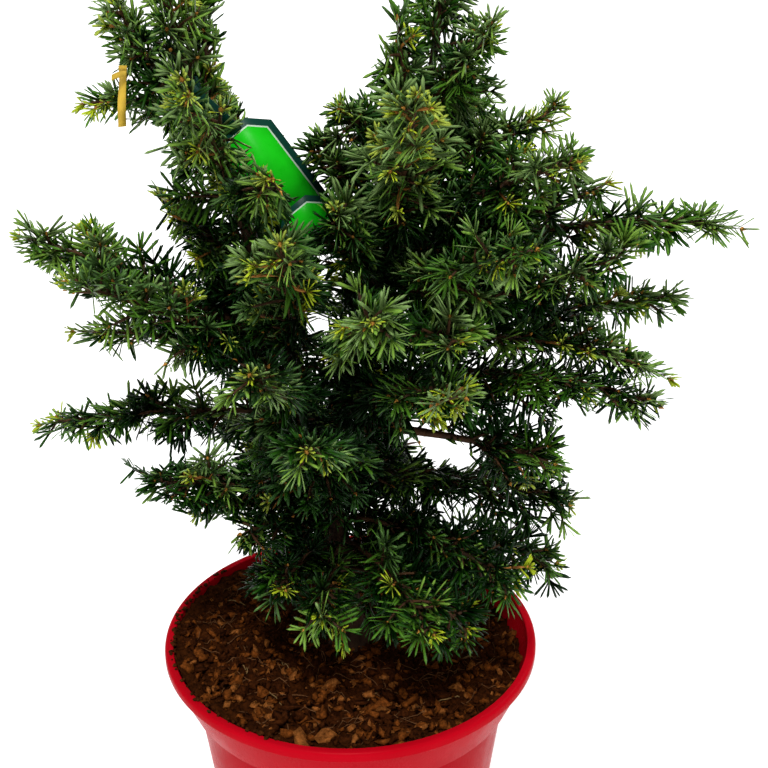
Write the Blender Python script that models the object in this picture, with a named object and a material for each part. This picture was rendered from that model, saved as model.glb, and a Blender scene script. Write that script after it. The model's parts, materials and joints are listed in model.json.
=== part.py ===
# Potted dwarf conifer: a red nursery pot, its soil, a trunk that forks into two leaders,
# boughs, masses of needles and a hang tag. Metres, +Z up. The origin is the middle of the
# pot's flat underside, +X is the viewer's right and the viewer stands on the -Y side.

import itertools
import math
import random

import bmesh
import bpy
import numpy as np
from mathutils import Vector

# Clearance that touching pieces keep
GAP = 0.0003

# Pot
POT_HEIGHT = 0.160
RIM_RADIUS = 0.095
LIP_WIDTH = 0.0045
LIP_DEPTH = 0.0045
LIP_ROUND = 0.0010
BAND_DEPTH = 0.028
BAND_FOOT_RADIUS = 0.0842
BODY_TOP_RADIUS = 0.0802
BODY_FOOT_RADIUS = 0.0635
POT_WALL = 0.0022
POT_FLOOR = 0.0028
POT_SEGMENTS = 40
DRAIN_HOLES = 5
DRAIN_RADIUS = 0.0055
DRAIN_RING = 0.045
DRAIN_SEGMENTS = 8

# Soil, which lies a little higher at the front left
SOIL_LEVEL = 0.1530
SOIL_SLOPE = 0.0042
SOIL_HIGH_SIDE = 225.0
SOIL_BUMP = 0.0008
SOIL_FLAT_RADIUS = 0.016
SOIL_SEED = 3
SOIL_RINGS = (1.0, 0.75, 0.45)

# Trunk, from the soil to its fork, with a lobed root flare
TRUNK_FOOT = Vector((0.000, 0.005, SOIL_LEVEL + GAP))
FORK = Vector((-0.0155, 0.003, 0.277))
TRUNK_BEND = 3.0
TRUNK_RADIUS = 0.0068
FORK_RADIUS = 0.0050
FLARE_RADIUS = 0.0050
FLARE_HEIGHT = 0.011
FLARE_LOBES = 5
FLARE_LOBE_SHARE = 0.18
TRUNK_SIDES = 14
TRUNK_STEPS = 12

# Leaders: the left one goes on from the trunk's tip, the right one leaves just below it
LEFT_LEADER_TIP = Vector((-0.068, -0.005, 0.461))
LEFT_LEADER_BEND = 2.0
RIGHT_LEADER_TIP = Vector((0.042, 0.022, 0.462))
RIGHT_LEADER_BEND = -7.0
RIGHT_LEADER_PLACE = 0.93
RIGHT_LEADER_RADIUS = 0.0042
LEADER_TIP_RADIUS = 0.0017
LEADER_SIDES = 8
LEADER_STEPS = 10

# Boughs, and the stems and sprays of the masses
BRANCH_STEPS = 10
BOUGH_SIDES = 6
BOUGH_STEPS = 4
BOUGH_RADIUS = 0.0028
STEM_SIDES = 3
STEM_STEPS = 3
STEM_RADIUS = 0.0016
STEM_TIP_RADIUS = 0.0008
STEM_SHARE = 0.72
STEM_SEARCH = 0.002
TIP_SPRAY_SHARE = 0.60
SPRAY_SPACING = 0.0200
FIRST_SHOOT = 0.4
SPRAY_ASPECT = 0.36
SPRAY_TEETH = (2, 3)
LONG_SPRAY = 0.042
SPRAY_THICKNESS = 0.0011
SPRAY_ANGLES = (50.0, 38.0, 64.0)
SPRAY_LENGTHS = (1.0, 0.8, 0.62, 0.48)
SPRAY_ROLLS = (5.0, 175.0, 80.0, -20.0, 200.0, 110.0)
UPRIGHT_ROLL = 137.5
UPRIGHT_RISE = 60.0
ROLL_JITTER = 15.0
SPRAY_DROOP = 0.10
NOTCH_SHARE = 0.42
NOTCH_PLACE = 0.25
POINT_PLACE = 1.05
END_RUN = 0.45
SPRAY_SWELL = (0.30, 0.55)
SPRAY_TWIST = 40.0
SPRAY_SHORTENING = 0.45
SPRAY_VARIATION = (0.85, 1.05)
STALK_HALF_WIDTH = 0.0011
TIP_HALF_WIDTH = 0.0005
CORE_SIDES = 5
CORE_STATIONS = (0.12, 0.36, 0.62)
CORE_ENDS = (0.05, 0.84)
CORE_SHARE = 0.25
CORE_SWELL = (0.36, 0.55)
CORE_SIZES = (1.0, 0.85, 0.7, 0.55, 0.4, 0.25)
SPACE_MARGIN = 0.0010
LIMB_MARGIN = 0.0022
LOWEST_NEEDLE = 0.1665

# Hang tag: a chamfered plate whose strap ends in a ring round the left leader
TAG_WIDTH = 0.0300
TAG_CHAMFER = 0.0086
TAG_THICKNESS = 0.0008
TAG_HEAD = Vector((-0.0475, 0.004, 0.4270))
TAG_TOE = Vector((-0.0087, 0.025, 0.3629))
TAG_FACING = Vector((0.0, -0.90, 0.44))
TAG_CLEARANCE = 0.0020
STRAP_WIDTH = 0.0052
STRAP_THICKNESS = 0.0007
STRAP_SINK = 0.0020
STRAP_ELBOW = 0.0085
RING_PLACE = 0.93
RING_WALL = 0.0010
RING_HEIGHT = 0.0050
RING_SEGMENTS = 16

# Colour and roughness of each material
RED_PLASTIC = ((0.52, 0.010, 0.016), 0.28)
SOIL_BROWN = ((0.035, 0.014, 0.006), 0.95)
BARK_BROWN = ((0.090, 0.042, 0.022), 0.85)
NEEDLE_GREEN = ((0.040, 0.075, 0.022), 0.55)
TAG_GREEN = ((0.010, 0.330, 0.030), 0.35)

# Each branch: parent limb, place along it, tip, bend in degrees, share of the branch that is
# a bare bough, and length of its longest spray. A bend below zero turns a branch upwards.
BRANCHES = {
    "left_crown_tip": ("leader_left", 1.00, (-0.074, -0.005, 0.497), 3, 0, 0.030),
    "left_crown_right": ("leader_left", 0.84, (-0.059, 0.014, 0.489), -14, 0, 0.020),
    "left_crown_west": ("leader_left", 0.85, (-0.094, -0.012, 0.491), -16, 0, 0.030),
    "left_crown_arm": ("leader_left", 0.82, (-0.115, -0.020, 0.442), 30, 0, 0.020),
    "left_crown_front": ("leader_left", 0.66, (-0.060, -0.074, 0.472), 4, 0, 0.034),
    "left_crown_east": ("leader_left", 0.76, (-0.048, -0.040, 0.450), 4, 0, 0.026),
    "left_crown_back": ("leader_left", 0.58, (-0.062, 0.094, 0.425), 8, 0, 0.036),
    "left_waist_front": ("leader_left", 0.58, (-0.025, -0.060, 0.425), 12, 0, 0.032),
    "left_waist_west": ("leader_left", 0.40, (-0.086, 0.004, 0.399), 4, 0, 0.034),
    "west_arm_upper": ("leader_left", 0.21, (-0.146, -0.025, 0.389), 10, 0.30, 0.048),
    "west_arm_fork": ("leader_left", 0.14, (-0.123, -0.050, 0.378), 8, 0, 0.040),
    "west_arm_middle": ("leader_left", 0.11, (-0.132, -0.004, 0.332), 20, 0, 0.026),
    "west_arm_lower": ("leader_left", 0.04, (-0.156, 0.010, 0.275), 9, 0, 0.032),
    "west_arm_low": ("trunk", 0.66, (-0.096, -0.030, 0.267), 8, 0, 0.052),
    "front_shoulder": ("leader_left", 0.17, (-0.023, -0.088, 0.410), 8, 0, 0.038),
    "front_left": ("trunk", 0.86, (-0.038, -0.098, 0.356), 12, 0, 0.044),
    "front_middle": ("trunk", 0.72, (-0.014, -0.108, 0.325), 14, 0, 0.044),
    "front_skirt_left": ("trunk", 0.56, (-0.055, -0.044, 0.244), 16, 0, 0.050),
    "front_skirt_middle": ("trunk", 0.40, (-0.013, -0.064, 0.208), 24, 0, 0.046),
    "front_skirt_right": ("trunk", 0.50, (0.043, -0.078, 0.207), 24, 0, 0.046),
    "skirt_left_low": ("trunk", 0.46, (-0.035, -0.052, 0.217), 24, 0, 0.042),
    "skirt_right_low": ("trunk", 0.34, (0.062, -0.056, 0.195), 26, 0, 0.042),
    "right_skirt_front": ("trunk", 0.60, (0.085, -0.044, 0.212), 22, 0, 0.044),
    "right_skirt_upper": ("trunk", 0.82, (0.117, 0.012, 0.226), 12, 0, 0.044),
    "right_skirt_lower": ("trunk", 0.46, (0.112, 0.017, 0.188), 16, 0, 0.042),
    "front_right_low": ("leader_right", 0.10, (0.054, -0.100, 0.344), 12, 0, 0.044),
    "front_right": ("leader_right", 0.20, (0.014, -0.112, 0.384), 12, 0, 0.044),
    "front_right_middle": ("leader_right", 0.27, (0.053, -0.080, 0.360), 8, 0, 0.042),
    "front_spray": ("leader_right", 0.33, (0.083, -0.084, 0.404), 8, 0, 0.040),
    "right_low": ("leader_right", 0.05, (0.103, -0.026, 0.271), 12, 0.40, 0.052),
    "right_arm_lower": ("leader_right", 0.13, (0.151, -0.026, 0.300), 24, 0.30, 0.046),
    "right_waist": ("leader_right", 0.23, (0.155, -0.022, 0.312), 25, 0, 0.038),
    "right_arm_middle": ("leader_right", 0.29, (0.163, 0.028, 0.334), 3, 0, 0.034),
    "right_arm_upper": ("leader_right", 0.42, (0.186, -0.004, 0.380), 20, 0.34, 0.028),
    "right_arm_short": ("leader_right", 0.37, (0.132, -0.034, 0.388), -16, 0, 0.032),
    "right_shoulder": ("leader_right", 0.50, (0.121, -0.016, 0.410), -8, 0, 0.034),
    "crown_right": ("leader_right", 0.62, (0.103, 0.018, 0.434), 4, 0, 0.030),
    "crown_right_top": ("leader_right", 0.84, (0.068, 0.004, 0.475), -4, 0, 0.022),
    "crown_tip": ("leader_right", 1.00, (0.045, 0.025, 0.492), 2, 0, 0.022),
    "crown_left_top": ("leader_right", 0.80, (0.024, 0.002, 0.481), -16, 0, 0.026),
    "crown_left_upper": ("leader_right", 0.70, (-0.004, -0.004, 0.443), -6, 0, 0.034),
    "crown_left": ("leader_right", 0.56, (-0.012, 0.010, 0.423), -8, 0, 0.032),
    "crown_front": ("leader_right", 0.48, (0.032, -0.070, 0.466), -6, 0, 0.042),
    "crown_middle": ("leader_right", 0.56, (0.104, -0.040, 0.426), 4, 0, 0.040),
    "middle_front": ("leader_right", 0.40, (-0.004, -0.040, 0.408), -4, 0, 0.040),
    "back_top": ("leader_right", 0.68, (0.064, 0.112, 0.412), 8, 0, 0.040),
    "back_right": ("leader_right", 0.34, (0.106, 0.122, 0.330), 12, 0, 0.050),
    "back_left": ("leader_left", 0.22, (-0.066, 0.124, 0.320), 12, 0, 0.050),
    "back_skirt_left": ("trunk", 0.74, (-0.062, 0.116, 0.232), 14, 0, 0.048),
    "back_skirt_right": ("trunk", 0.66, (0.040, 0.120, 0.206), 14, 0, 0.046),
}


# Shared tools

def material(name, finish):
    colour, roughness = finish
    made = bpy.data.materials.new(name)
    made.use_nodes = True
    shader = made.node_tree.nodes["Principled BSDF"]
    shader.inputs["Base Color"].default_value = (*colour, 1.0)
    shader.inputs["Roughness"].default_value = roughness
    shader.inputs["Metallic"].default_value = 0.0
    made.diffuse_color = (*colour, 1.0)
    return made


def solid(name, points, faces, finish=None, collection=None):
    """A new object from points and faces, in triangles that face outwards."""
    mesh = bpy.data.meshes.new(name)
    mesh.from_pydata([tuple(point) for point in points], [], faces)
    work = bmesh.new()
    work.from_mesh(mesh)
    bmesh.ops.triangulate(work, faces=work.faces)
    bmesh.ops.recalc_face_normals(work, faces=work.faces)
    work.to_mesh(mesh)
    work.free()
    if finish is not None:
        mesh.materials.append(finish)
    made = bpy.data.objects.new(name, mesh)
    (collection or bpy.context.scene.collection).objects.link(made)
    return made


def apply_modifiers(thing):
    graph = bpy.context.evaluated_depsgraph_get()
    mesh = bpy.data.meshes.new_from_object(thing.evaluated_get(graph))
    thing.modifiers.clear()
    thing.data = mesh


def cut(thing, cutter):
    """Takes the cutter out of the thing and removes the cutter."""
    cutter.hide_render = True
    cutter.display_type = "WIRE"
    step = thing.modifiers.new("cut", "BOOLEAN")
    step.operation = "DIFFERENCE"
    step.solver = "EXACT"
    step.object = cutter
    apply_modifiers(thing)
    bpy.data.objects.remove(cutter)


def fuse(thing, collection):
    """Joins everything in the collection to the thing and removes the collection."""
    step = thing.modifiers.new("fuse", "BOOLEAN")
    step.operation = "UNION"
    step.solver = "EXACT"
    step.operand_type = "COLLECTION"
    step.collection = collection
    apply_modifiers(thing)
    for piece in list(collection.objects):
        bpy.data.objects.remove(piece)
    bpy.data.collections.remove(collection)


def smooth(thing, degrees):
    thing.data.shade_smooth()
    thing.data.set_sharp_from_angle(angle=math.radians(degrees))


def circle(count):
    """Angles of evenly spaced corners."""
    return [2.0 * math.pi * step / count for step in range(count)]


def bridged(rings):
    """Faces between following rings of point numbers. A ring of one point makes a fan."""
    faces = []
    for low, high in zip(rings, rings[1:]):
        count = max(len(low), len(high))
        for step in range(count):
            after = (step + 1) % count
            corners = [low[step % len(low)], low[after % len(low)],
                       high[after % len(high)], high[step % len(high)]]
            faces.append(tuple(dict.fromkeys(corners)))
    return faces


def capped(rings):
    """Faces of a closed tube through the rings."""
    return bridged(rings) + [tuple(rings[0]), tuple(rings[-1])]


# Pot

def inner_radius(height):
    """Radius of the pot's inner wall at a height."""
    stations = (
        (POT_FLOOR, BODY_FOOT_RADIUS - POT_WALL),
        (POT_HEIGHT - BAND_DEPTH - POT_WALL, BODY_TOP_RADIUS - POT_WALL),
        (POT_HEIGHT - BAND_DEPTH + POT_WALL, BAND_FOOT_RADIUS - POT_WALL),
        (POT_HEIGHT - LIP_DEPTH, RIM_RADIUS - LIP_WIDTH),
        (POT_HEIGHT, RIM_RADIUS - LIP_WIDTH),
    )
    return float(np.interp(height, *zip(*stations)))


def pot_profile():
    """Radius and height from the middle of the floor up inside and down outside."""
    band_foot = POT_HEIGHT - BAND_DEPTH
    profile = [(0.0, POT_FLOOR)]
    for height in (POT_FLOOR, band_foot - POT_WALL, band_foot + POT_WALL, POT_HEIGHT - LIP_DEPTH,
                   POT_HEIGHT):
        profile.append((inner_radius(height), height))
    profile += [
        (RIM_RADIUS - 2.0 * LIP_ROUND, POT_HEIGHT),
        (RIM_RADIUS, POT_HEIGHT - 2.0 * LIP_ROUND),
        (RIM_RADIUS, POT_HEIGHT - LIP_DEPTH),
        (RIM_RADIUS - LIP_ROUND, POT_HEIGHT - LIP_DEPTH - LIP_ROUND),
        (BAND_FOOT_RADIUS, band_foot),
        (BODY_TOP_RADIUS, band_foot - LIP_ROUND),
        (BODY_FOOT_RADIUS, LIP_ROUND),
        (BODY_FOOT_RADIUS - LIP_ROUND, 0.0),
        (0.0, 0.0),
    ]
    return profile


def make_pot(finish):
    points = []
    rings = []
    for radius, height in pot_profile():
        angles = circle(POT_SEGMENTS if radius else 1)
        rings.append([len(points) + step for step in range(len(angles))])
        points += [(radius * math.cos(angle), radius * math.sin(angle), height)
                   for angle in angles]
    pot = solid("pot", points, bridged(rings), finish)
    for angle in circle(DRAIN_HOLES):
        cut(pot, drain_cutter(DRAIN_RING * math.cos(angle), DRAIN_RING * math.sin(angle)))
    smooth(pot, 30)


def drain_cutter(x, y):
    points = [(x + DRAIN_RADIUS * math.cos(angle), y + DRAIN_RADIUS * math.sin(angle), height)
              for height in (-POT_FLOOR, 2.0 * POT_FLOOR) for angle in circle(DRAIN_SEGMENTS)]
    rings = [list(range(DRAIN_SEGMENTS)), list(range(DRAIN_SEGMENTS, 2 * DRAIN_SEGMENTS))]
    return solid("drain_cutter", points, capped(rings))


# Soil

def make_soil(finish):
    """Fills the pot. Its top slopes and rolls a little, and is flat under the trunk."""
    rng = random.Random(SOIL_SEED)
    inset = 2.0 * GAP
    band_foot = POT_HEIGHT - BAND_DEPTH
    floor = POT_FLOOR + GAP
    points = [(0.0, 0.0, floor)]
    rings = [[0]]

    def add_ring(ring):
        rings.append([len(points) + step for step in range(len(ring))])
        points.extend(ring)

    for height in (floor, band_foot - POT_WALL, band_foot + POT_WALL):
        radius = inner_radius(height) - inset
        add_ring([(radius * math.cos(angle), radius * math.sin(angle), height)
                  for angle in circle(POT_SEGMENTS)])
    for share in SOIL_RINGS:
        ring = []
        for angle in circle(POT_SEGMENTS):
            lift = SOIL_SLOPE * share * math.cos(angle - math.radians(SOIL_HIGH_SIDE))
            height = SOIL_LEVEL + lift + rng.uniform(-SOIL_BUMP, SOIL_BUMP)
            radius = share * (inner_radius(height) - inset)
            ring.append((radius * math.cos(angle), radius * math.sin(angle), height))
        add_ring(ring)
    add_ring([(TRUNK_FOOT.x + SOIL_FLAT_RADIUS * math.cos(angle),
               TRUNK_FOOT.y + SOIL_FLAT_RADIUS * math.sin(angle), SOIL_LEVEL)
              for angle in circle(POT_SEGMENTS)])
    add_ring([(TRUNK_FOOT.x, TRUNK_FOOT.y, SOIL_LEVEL)])
    smooth(solid("soil", points, bridged(rings), finish), 40)


# Limbs

class Limb:
    """An arc in an upright plane from one point to another. It leaves steeper than its chord
    by the bend and ends flatter by the bend, and tapers evenly."""

    def __init__(self, start, end, bend, first_radius, last_radius, steps):
        chord = end - start
        level = math.hypot(chord.x, chord.y)
        self.heading = Vector((chord.x, chord.y, 0.0)) / level
        self.side = Vector((-self.heading.y, self.heading.x, 0.0))
        self.rise = math.atan2(chord.z, level)
        self.length = chord.length
        self.radii = (first_radius, last_radius)
        steady = [Vector((0.0, 0.0, 0.0))]
        for step in range(steps):
            angle = self.rise + math.radians(bend) * (1.0 - 2.0 * (step + 0.5) / steps)
            stride = self.heading * math.cos(angle) + Vector((0.0, 0.0, math.sin(angle)))
            steady.append(steady[-1] + stride)
        scale = chord.length / steady[-1].length
        self.points = [start + offset * scale for offset in steady]

    def at(self, share):
        """The point at a share of the length and the direction there."""
        place = share * (len(self.points) - 1)
        low = min(int(place), len(self.points) - 2)
        run = self.points[low + 1] - self.points[low]
        return self.points[low] + run * (place - low), run.normalized()

    def radius(self, share):
        return self.radii[0] + (self.radii[1] - self.radii[0]) * share

    def path(self, first, last, count):
        """Points and radii along a stretch as arrays."""
        shares = np.linspace(first, last, count)
        return (np.array([tuple(self.at(share)[0]) for share in shares]),
                np.array([self.radius(share) for share in shares]))


def tube(limb, sides, first, last, steps, radii, lobed=False):
    """Points and faces of a round limb between two shares of its length."""
    points = []
    rings = []
    for step in range(steps + 1):
        part = step / steps
        centre, direction = limb.at(first + (last - first) * part)
        up = direction.cross(limb.side)
        if lobed and step == 0:
            up = -limb.heading
        radius = radii[0] + (radii[1] - radii[0]) * part
        rings.append([len(points) + corner for corner in range(sides)])
        for angle in circle(sides):
            reach = radius
            if lobed:
                fade = math.exp((limb.points[0].z - centre.z) / FLARE_HEIGHT)
                lobe = 1.0 + FLARE_LOBE_SHARE * math.cos(FLARE_LOBES * angle)
                reach += FLARE_RADIUS * fade * lobe
            points.append(centre + (limb.side * math.cos(angle) + up * math.sin(angle)) * reach)
    return points, capped(rings)


def make_limb(name, limb, sides, steps, finish, last=1.0, carriers=(), lobed=False):
    """A limb's solid, cut clear of the limbs that carry it."""
    radii = (limb.radius(0.0), limb.radius(last))
    made = solid(name, *tube(limb, sides, 0.0, last, steps, radii, lobed), finish)
    for carrier, carrier_sides, carrier_steps in carriers:
        grown = (carrier.radius(0.0) + GAP, carrier.radius(1.0) + GAP)
        hollow = tube(carrier, carrier_sides, 0.0, 1.0, carrier_steps, grown)
        cut(made, solid("limb_cutter", *hollow))
    smooth(made, 40)


def lay_out_limbs():
    """Every limb, from the trunk to the branches, before any solid is made."""
    trunk = Limb(TRUNK_FOOT, FORK, TRUNK_BEND, TRUNK_RADIUS, FORK_RADIUS, TRUNK_STEPS)
    tip, onwards = trunk.at(1.0)
    limbs = {
        "trunk": trunk,
        "leader_left": Limb(tip + onwards * 2.0 * GAP, LEFT_LEADER_TIP, LEFT_LEADER_BEND,
                            FORK_RADIUS, LEADER_TIP_RADIUS, LEADER_STEPS),
        "leader_right": Limb(trunk.at(RIGHT_LEADER_PLACE)[0], RIGHT_LEADER_TIP,
                             RIGHT_LEADER_BEND, RIGHT_LEADER_RADIUS, LEADER_TIP_RADIUS,
                             LEADER_STEPS),
    }
    for name, (parent, place, end, bend, bare, _) in BRANCHES.items():
        root, onwards = limbs[parent].at(place)
        if place == 1.0:
            root = root + onwards * GAP
        radii = (BOUGH_RADIUS, STEM_TIP_RADIUS) if bare else (STEM_RADIUS, STEM_TIP_RADIUS)
        limbs[name] = Limb(root, Vector(end), bend, *radii, BRANCH_STEPS)
    return limbs


def distances(points, path, radii=0.0):
    """Distance from each point to a path, or to the skin of a round limb along it."""
    low = path[:-1]
    run = path[1:] - low
    along = np.einsum("pij,ij->pi", points[:, None] - low, run)
    along = np.clip(along / np.einsum("ij,ij->i", run, run), 0.0, 1.0)
    reach = np.linalg.norm(points[:, None] - low - run * along[..., None], axis=2)
    if np.ndim(radii):
        reach = reach - radii[:-1] - (radii[1:] - radii[:-1]) * along
    return reach.min(axis=1)


def stem_start(limb, place, bare, wood):
    """Share at which a mass's stem begins: just past its bough or its leader's tip, or just
    clear of the side of the wood."""
    share = 0.0
    if bare or place == 1.0:
        return bare + GAP / limb.length
    while True:
        ring = np.array([tuple(point) for point in
                         tube(limb, STEM_SIDES, share, 1.0, 1, limb.radii)[0][:STEM_SIDES]])
        if all(distances(ring, path, radii).min() >= GAP for path, radii in wood):
            return share
        share += STEM_SEARCH


# Masses of needles

class Space:
    """Where each mass may reach: nearer its own stem than any other mass's stem, and clear
    of the limbs, the tag and the pot."""

    def __init__(self, limbs):
        wood = [limbs[name].path(0.0, 1.0, 13) for name in limbs if name not in BRANCHES]
        self.starts = {name: stem_start(limbs[name], row[1], row[4], wood)
                       for name, row in BRANCHES.items()}
        self.stems = {name: limbs[name].path(start, 1.0, 9)[0]
                      for name, start in self.starts.items()}
        self.wood = wood + [limbs[name].path(0.0, row[4], 5)
                            for name, row in BRANCHES.items() if row[4]]
        self.strap = np.array([tuple(point) for point in strap_path(limbs["leader_left"])])

    def holds(self, name, points):
        own = distances(points, self.stems[name]) + SPACE_MARGIN
        near = [path for other, path in self.stems.items() if other != name]
        return (points[:, 2].min() > LOWEST_NEEDLE
                and all(np.all(distances(points, path) > own) for path in near)
                and all(distances(points, *limb).min() > LIMB_MARGIN for limb in self.wood)
                and distances(points, self.strap).min() > STRAP_WIDTH / 2.0 + TAG_CLEARANCE
                and not meets_tag_plate(points))


def swelling(shape, share):
    """Relative width at a share of the length: a sine from its start over its run."""
    start, run = shape
    return math.sin(math.pi * (start + run * share))


def spray(root, along, wide, length):
    """Corners of a toothed blade as rows of four, from the stalk to the tip. It bows down."""
    thick = wide.cross(along).normalized()
    if thick.z < 0.0:
        thick = -thick
    widest = SPRAY_ASPECT * length
    teeth = SPRAY_TEETH[length > LONG_SPRAY]
    stations = [(0.0, STALK_HALF_WIDTH)]
    for tooth in range(teeth):
        notch = (tooth + NOTCH_PLACE) / (teeth + END_RUN)
        point = (tooth + POINT_PLACE) / (teeth + END_RUN)
        swell = swelling(SPRAY_SWELL, notch)
        stations.append((notch, NOTCH_SHARE * widest * swell if tooth else STALK_HALF_WIDTH))
        stations.append((point, widest * swell))
    stations.append((1.0, TIP_HALF_WIDTH))
    rows = []
    for share, half in stations:
        middle = root + along * (length * share) - thick * (SPRAY_DROOP * length * share ** 2)
        rows.append([middle + wide * (half * across) + thick * (SPRAY_THICKNESS / 2.0 * over)
                     for across, over in ((-1, -1), (1, -1), (1, 1), (-1, 1))])
    return rows


def spray_samples(rows):
    """Points to test: the corners and the middles between rows, without the sunk root."""
    corners = np.array([[tuple(corner) for corner in row] for row in rows])
    middles = (corners[1:] + corners[:-1]) / 2.0
    return np.concatenate([corners[1:].reshape(-1, 3), middles[1:].reshape(-1, 3)])


def sprays_of(name, limb, first, space):
    """The sprays of one mass, by a rule seeded with its name. What has no room is left out."""
    rng = random.Random(name)
    longest = BRANCHES[name][5]
    stretch = 1.0 - first
    upright = math.degrees(limb.rise) > UPRIGHT_RISE
    root = limb.at(first + stretch * TIP_SPRAY_SHARE)[0]
    along = limb.at(1.0)[0] - root
    chosen = [spray(root, along.normalized(), limb.side, along.length)]
    shoots = max(2, round(limb.length * stretch * TIP_SPRAY_SHARE / SPRAY_SPACING))
    for index in range(shoots):
        part = (index + FIRST_SHOOT) / shoots * TIP_SPRAY_SHARE
        root, onwards = limb.at(first + stretch * part)
        up = onwards.cross(limb.side)
        roll = UPRIGHT_ROLL * index if upright else SPRAY_ROLLS[index % len(SPRAY_ROLLS)]
        roll = math.radians(roll + rng.uniform(-ROLL_JITTER, ROLL_JITTER))
        outwards = limb.side * math.cos(roll) - up * math.sin(roll)
        reach = longest * (1.0 - SPRAY_SHORTENING * part) * rng.uniform(*SPRAY_VARIATION)
        twist = math.radians(rng.uniform(-SPRAY_TWIST, SPRAY_TWIST))
        flat = onwards.cross(outwards).normalized()
        for size, angle in itertools.product(SPRAY_LENGTHS, SPRAY_ANGLES):
            lean = math.radians(angle)
            along = onwards * math.cos(lean) + outwards * math.sin(lean)
            wide = flat.cross(along) * math.cos(twist) + flat * math.sin(twist)
            rows = spray(root, along, wide, reach * size)
            if space.holds(name, spray_samples(rows)):
                chosen.append(rows)
                break
    return chosen


def core_of(name, limb, first, space):
    """Points and faces of a slim core round the stem, drawn in where its space is narrow."""
    widest = CORE_SHARE * BRANCHES[name][5]
    ends = [limb.at(first + (1.0 - first) * part)[0] for part in CORE_ENDS]
    points = [ends[0]]
    rings = [[0]]
    for part in CORE_STATIONS:
        middle, direction = limb.at(first + (1.0 - first) * part)
        up = direction.cross(limb.side)
        swell = swelling(CORE_SWELL, part)
        rings.append([len(points) + corner for corner in range(CORE_SIDES)])
        for angle in circle(CORE_SIDES):
            out = limb.side * math.cos(angle) + up * math.sin(angle)
            reach = 2.0 * STEM_RADIUS
            for size in CORE_SIZES:
                tried = widest * swell * size
                line = [middle + out * tried, middle + out * (tried / 2.0)]
                if space.holds(name, np.array([tuple(point) for point in line])):
                    reach = max(reach, tried)
                    break
            points.append(middle + out * reach)
    rings.append([len(points)])
    points.append(ends[1])
    return points, bridged(rings)


def make_mass(name, limb, space, finish):
    """A mass: its stem with a slim core and the sprays fused on."""
    first = space.starts[name]
    last = first + (1.0 - first) * STEM_SHARE
    stem = solid("needles_" + name, *tube(limb, STEM_SIDES, first, last, STEM_STEPS,
                                          (STEM_RADIUS, STEM_TIP_RADIUS)), finish)
    sprays = bpy.data.collections.new("sprays")
    bpy.context.scene.collection.children.link(sprays)
    solid("core", *core_of(name, limb, first, space), finish, sprays)
    for rows in sprays_of(name, limb, first, space):
        points = [corner for row in rows for corner in row]
        rings = [list(range(4 * row, 4 * row + 4)) for row in range(len(rows))]
        solid("spray", points, capped(rings), finish, sprays)
    fuse(stem, sprays)


# Hang tag

def tag_axes():
    """Long, wide and thick directions of the tag's plate."""
    along = (TAG_TOE - TAG_HEAD).normalized()
    wide = along.cross(TAG_FACING).normalized()
    return along, wide, wide.cross(along)


def meets_tag_plate(points):
    along, wide, thick = (np.array(tuple(axis)) for axis in tag_axes())
    local = points - np.array(tuple((TAG_HEAD + TAG_TOE) / 2.0))
    half_length = (TAG_TOE - TAG_HEAD).length / 2.0
    inside = np.abs(local @ thick) < TAG_THICKNESS / 2.0 + TAG_CLEARANCE
    inside &= np.abs(local @ along) < half_length + TAG_CLEARANCE
    inside &= np.abs(local @ wide) < TAG_WIDTH / 2.0 + TAG_CLEARANCE
    return bool(inside.any())


def strap_path(leader):
    """From inside the plate's head to an elbow in front of the leader and into the ring."""
    hold, upwards = leader.at(RING_PLACE)
    towards = TAG_FACING - upwards * TAG_FACING.dot(upwards)
    towards.normalize()
    ring_middle = leader.radius(RING_PLACE) + 2.0 * GAP + RING_WALL / 2.0
    along = tag_axes()[0]
    return [TAG_HEAD + along * STRAP_SINK, hold + towards * STRAP_ELBOW, hold + towards * ring_middle]


def make_tag(leader, finish):
    along, wide, thick = tag_axes()
    half = TAG_WIDTH / 2.0
    outline = [(0.0, -half + TAG_CHAMFER), (0.0, half - TAG_CHAMFER), (TAG_CHAMFER, half),
               ((TAG_TOE - TAG_HEAD).length, half), ((TAG_TOE - TAG_HEAD).length, -half),
               (TAG_CHAMFER, -half)]
    points = [TAG_HEAD + along * far + wide * across + thick * (TAG_THICKNESS / 2.0 * over)
              for over in (-1, 1) for far, across in outline]
    count = len(outline)
    plate = solid("tag", points, capped([list(range(count)), list(range(count, 2 * count))]),
                  finish)
    extras = bpy.data.collections.new("tag_extras")
    bpy.context.scene.collection.children.link(extras)

    hold, upwards = leader.at(RING_PLACE)
    middle_path = strap_path(leader)
    widths = [wide, (wide - upwards).normalized(), -upwards]
    facings = [thick, TAG_FACING.normalized(), wide]
    points = []
    for middle, broad, facing in zip(middle_path, widths, facings):
        flat = (facing - broad * facing.dot(broad)).normalized()
        points += [middle + broad * (STRAP_WIDTH / 2.0 * across)
                   + flat * (STRAP_THICKNESS / 2.0 * over)
                   for across, over in ((-1, -1), (1, -1), (1, 1), (-1, 1))]
    rings = [list(range(4 * row, 4 * row + 4)) for row in range(len(middle_path))]
    solid("strap", points, capped(rings), finish, extras)

    side = upwards.cross(Vector((0.0, 1.0, 0.0))).normalized()
    front = upwards.cross(side)
    inner = leader.radius(RING_PLACE) + 2.0 * GAP
    corners = ((inner, -1), (inner + RING_WALL, -1), (inner + RING_WALL, 1), (inner, 1))
    points = [hold + (side * math.cos(angle) + front * math.sin(angle)) * radius
              + upwards * (RING_HEIGHT / 2.0 * end)
              for angle in circle(RING_SEGMENTS) for radius, end in corners]
    rings = [list(range(4 * row, 4 * row + 4)) for row in range(RING_SEGMENTS)]
    solid("ring", points, bridged(rings + rings[:1]), finish, extras)
    fuse(plate, extras)


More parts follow.
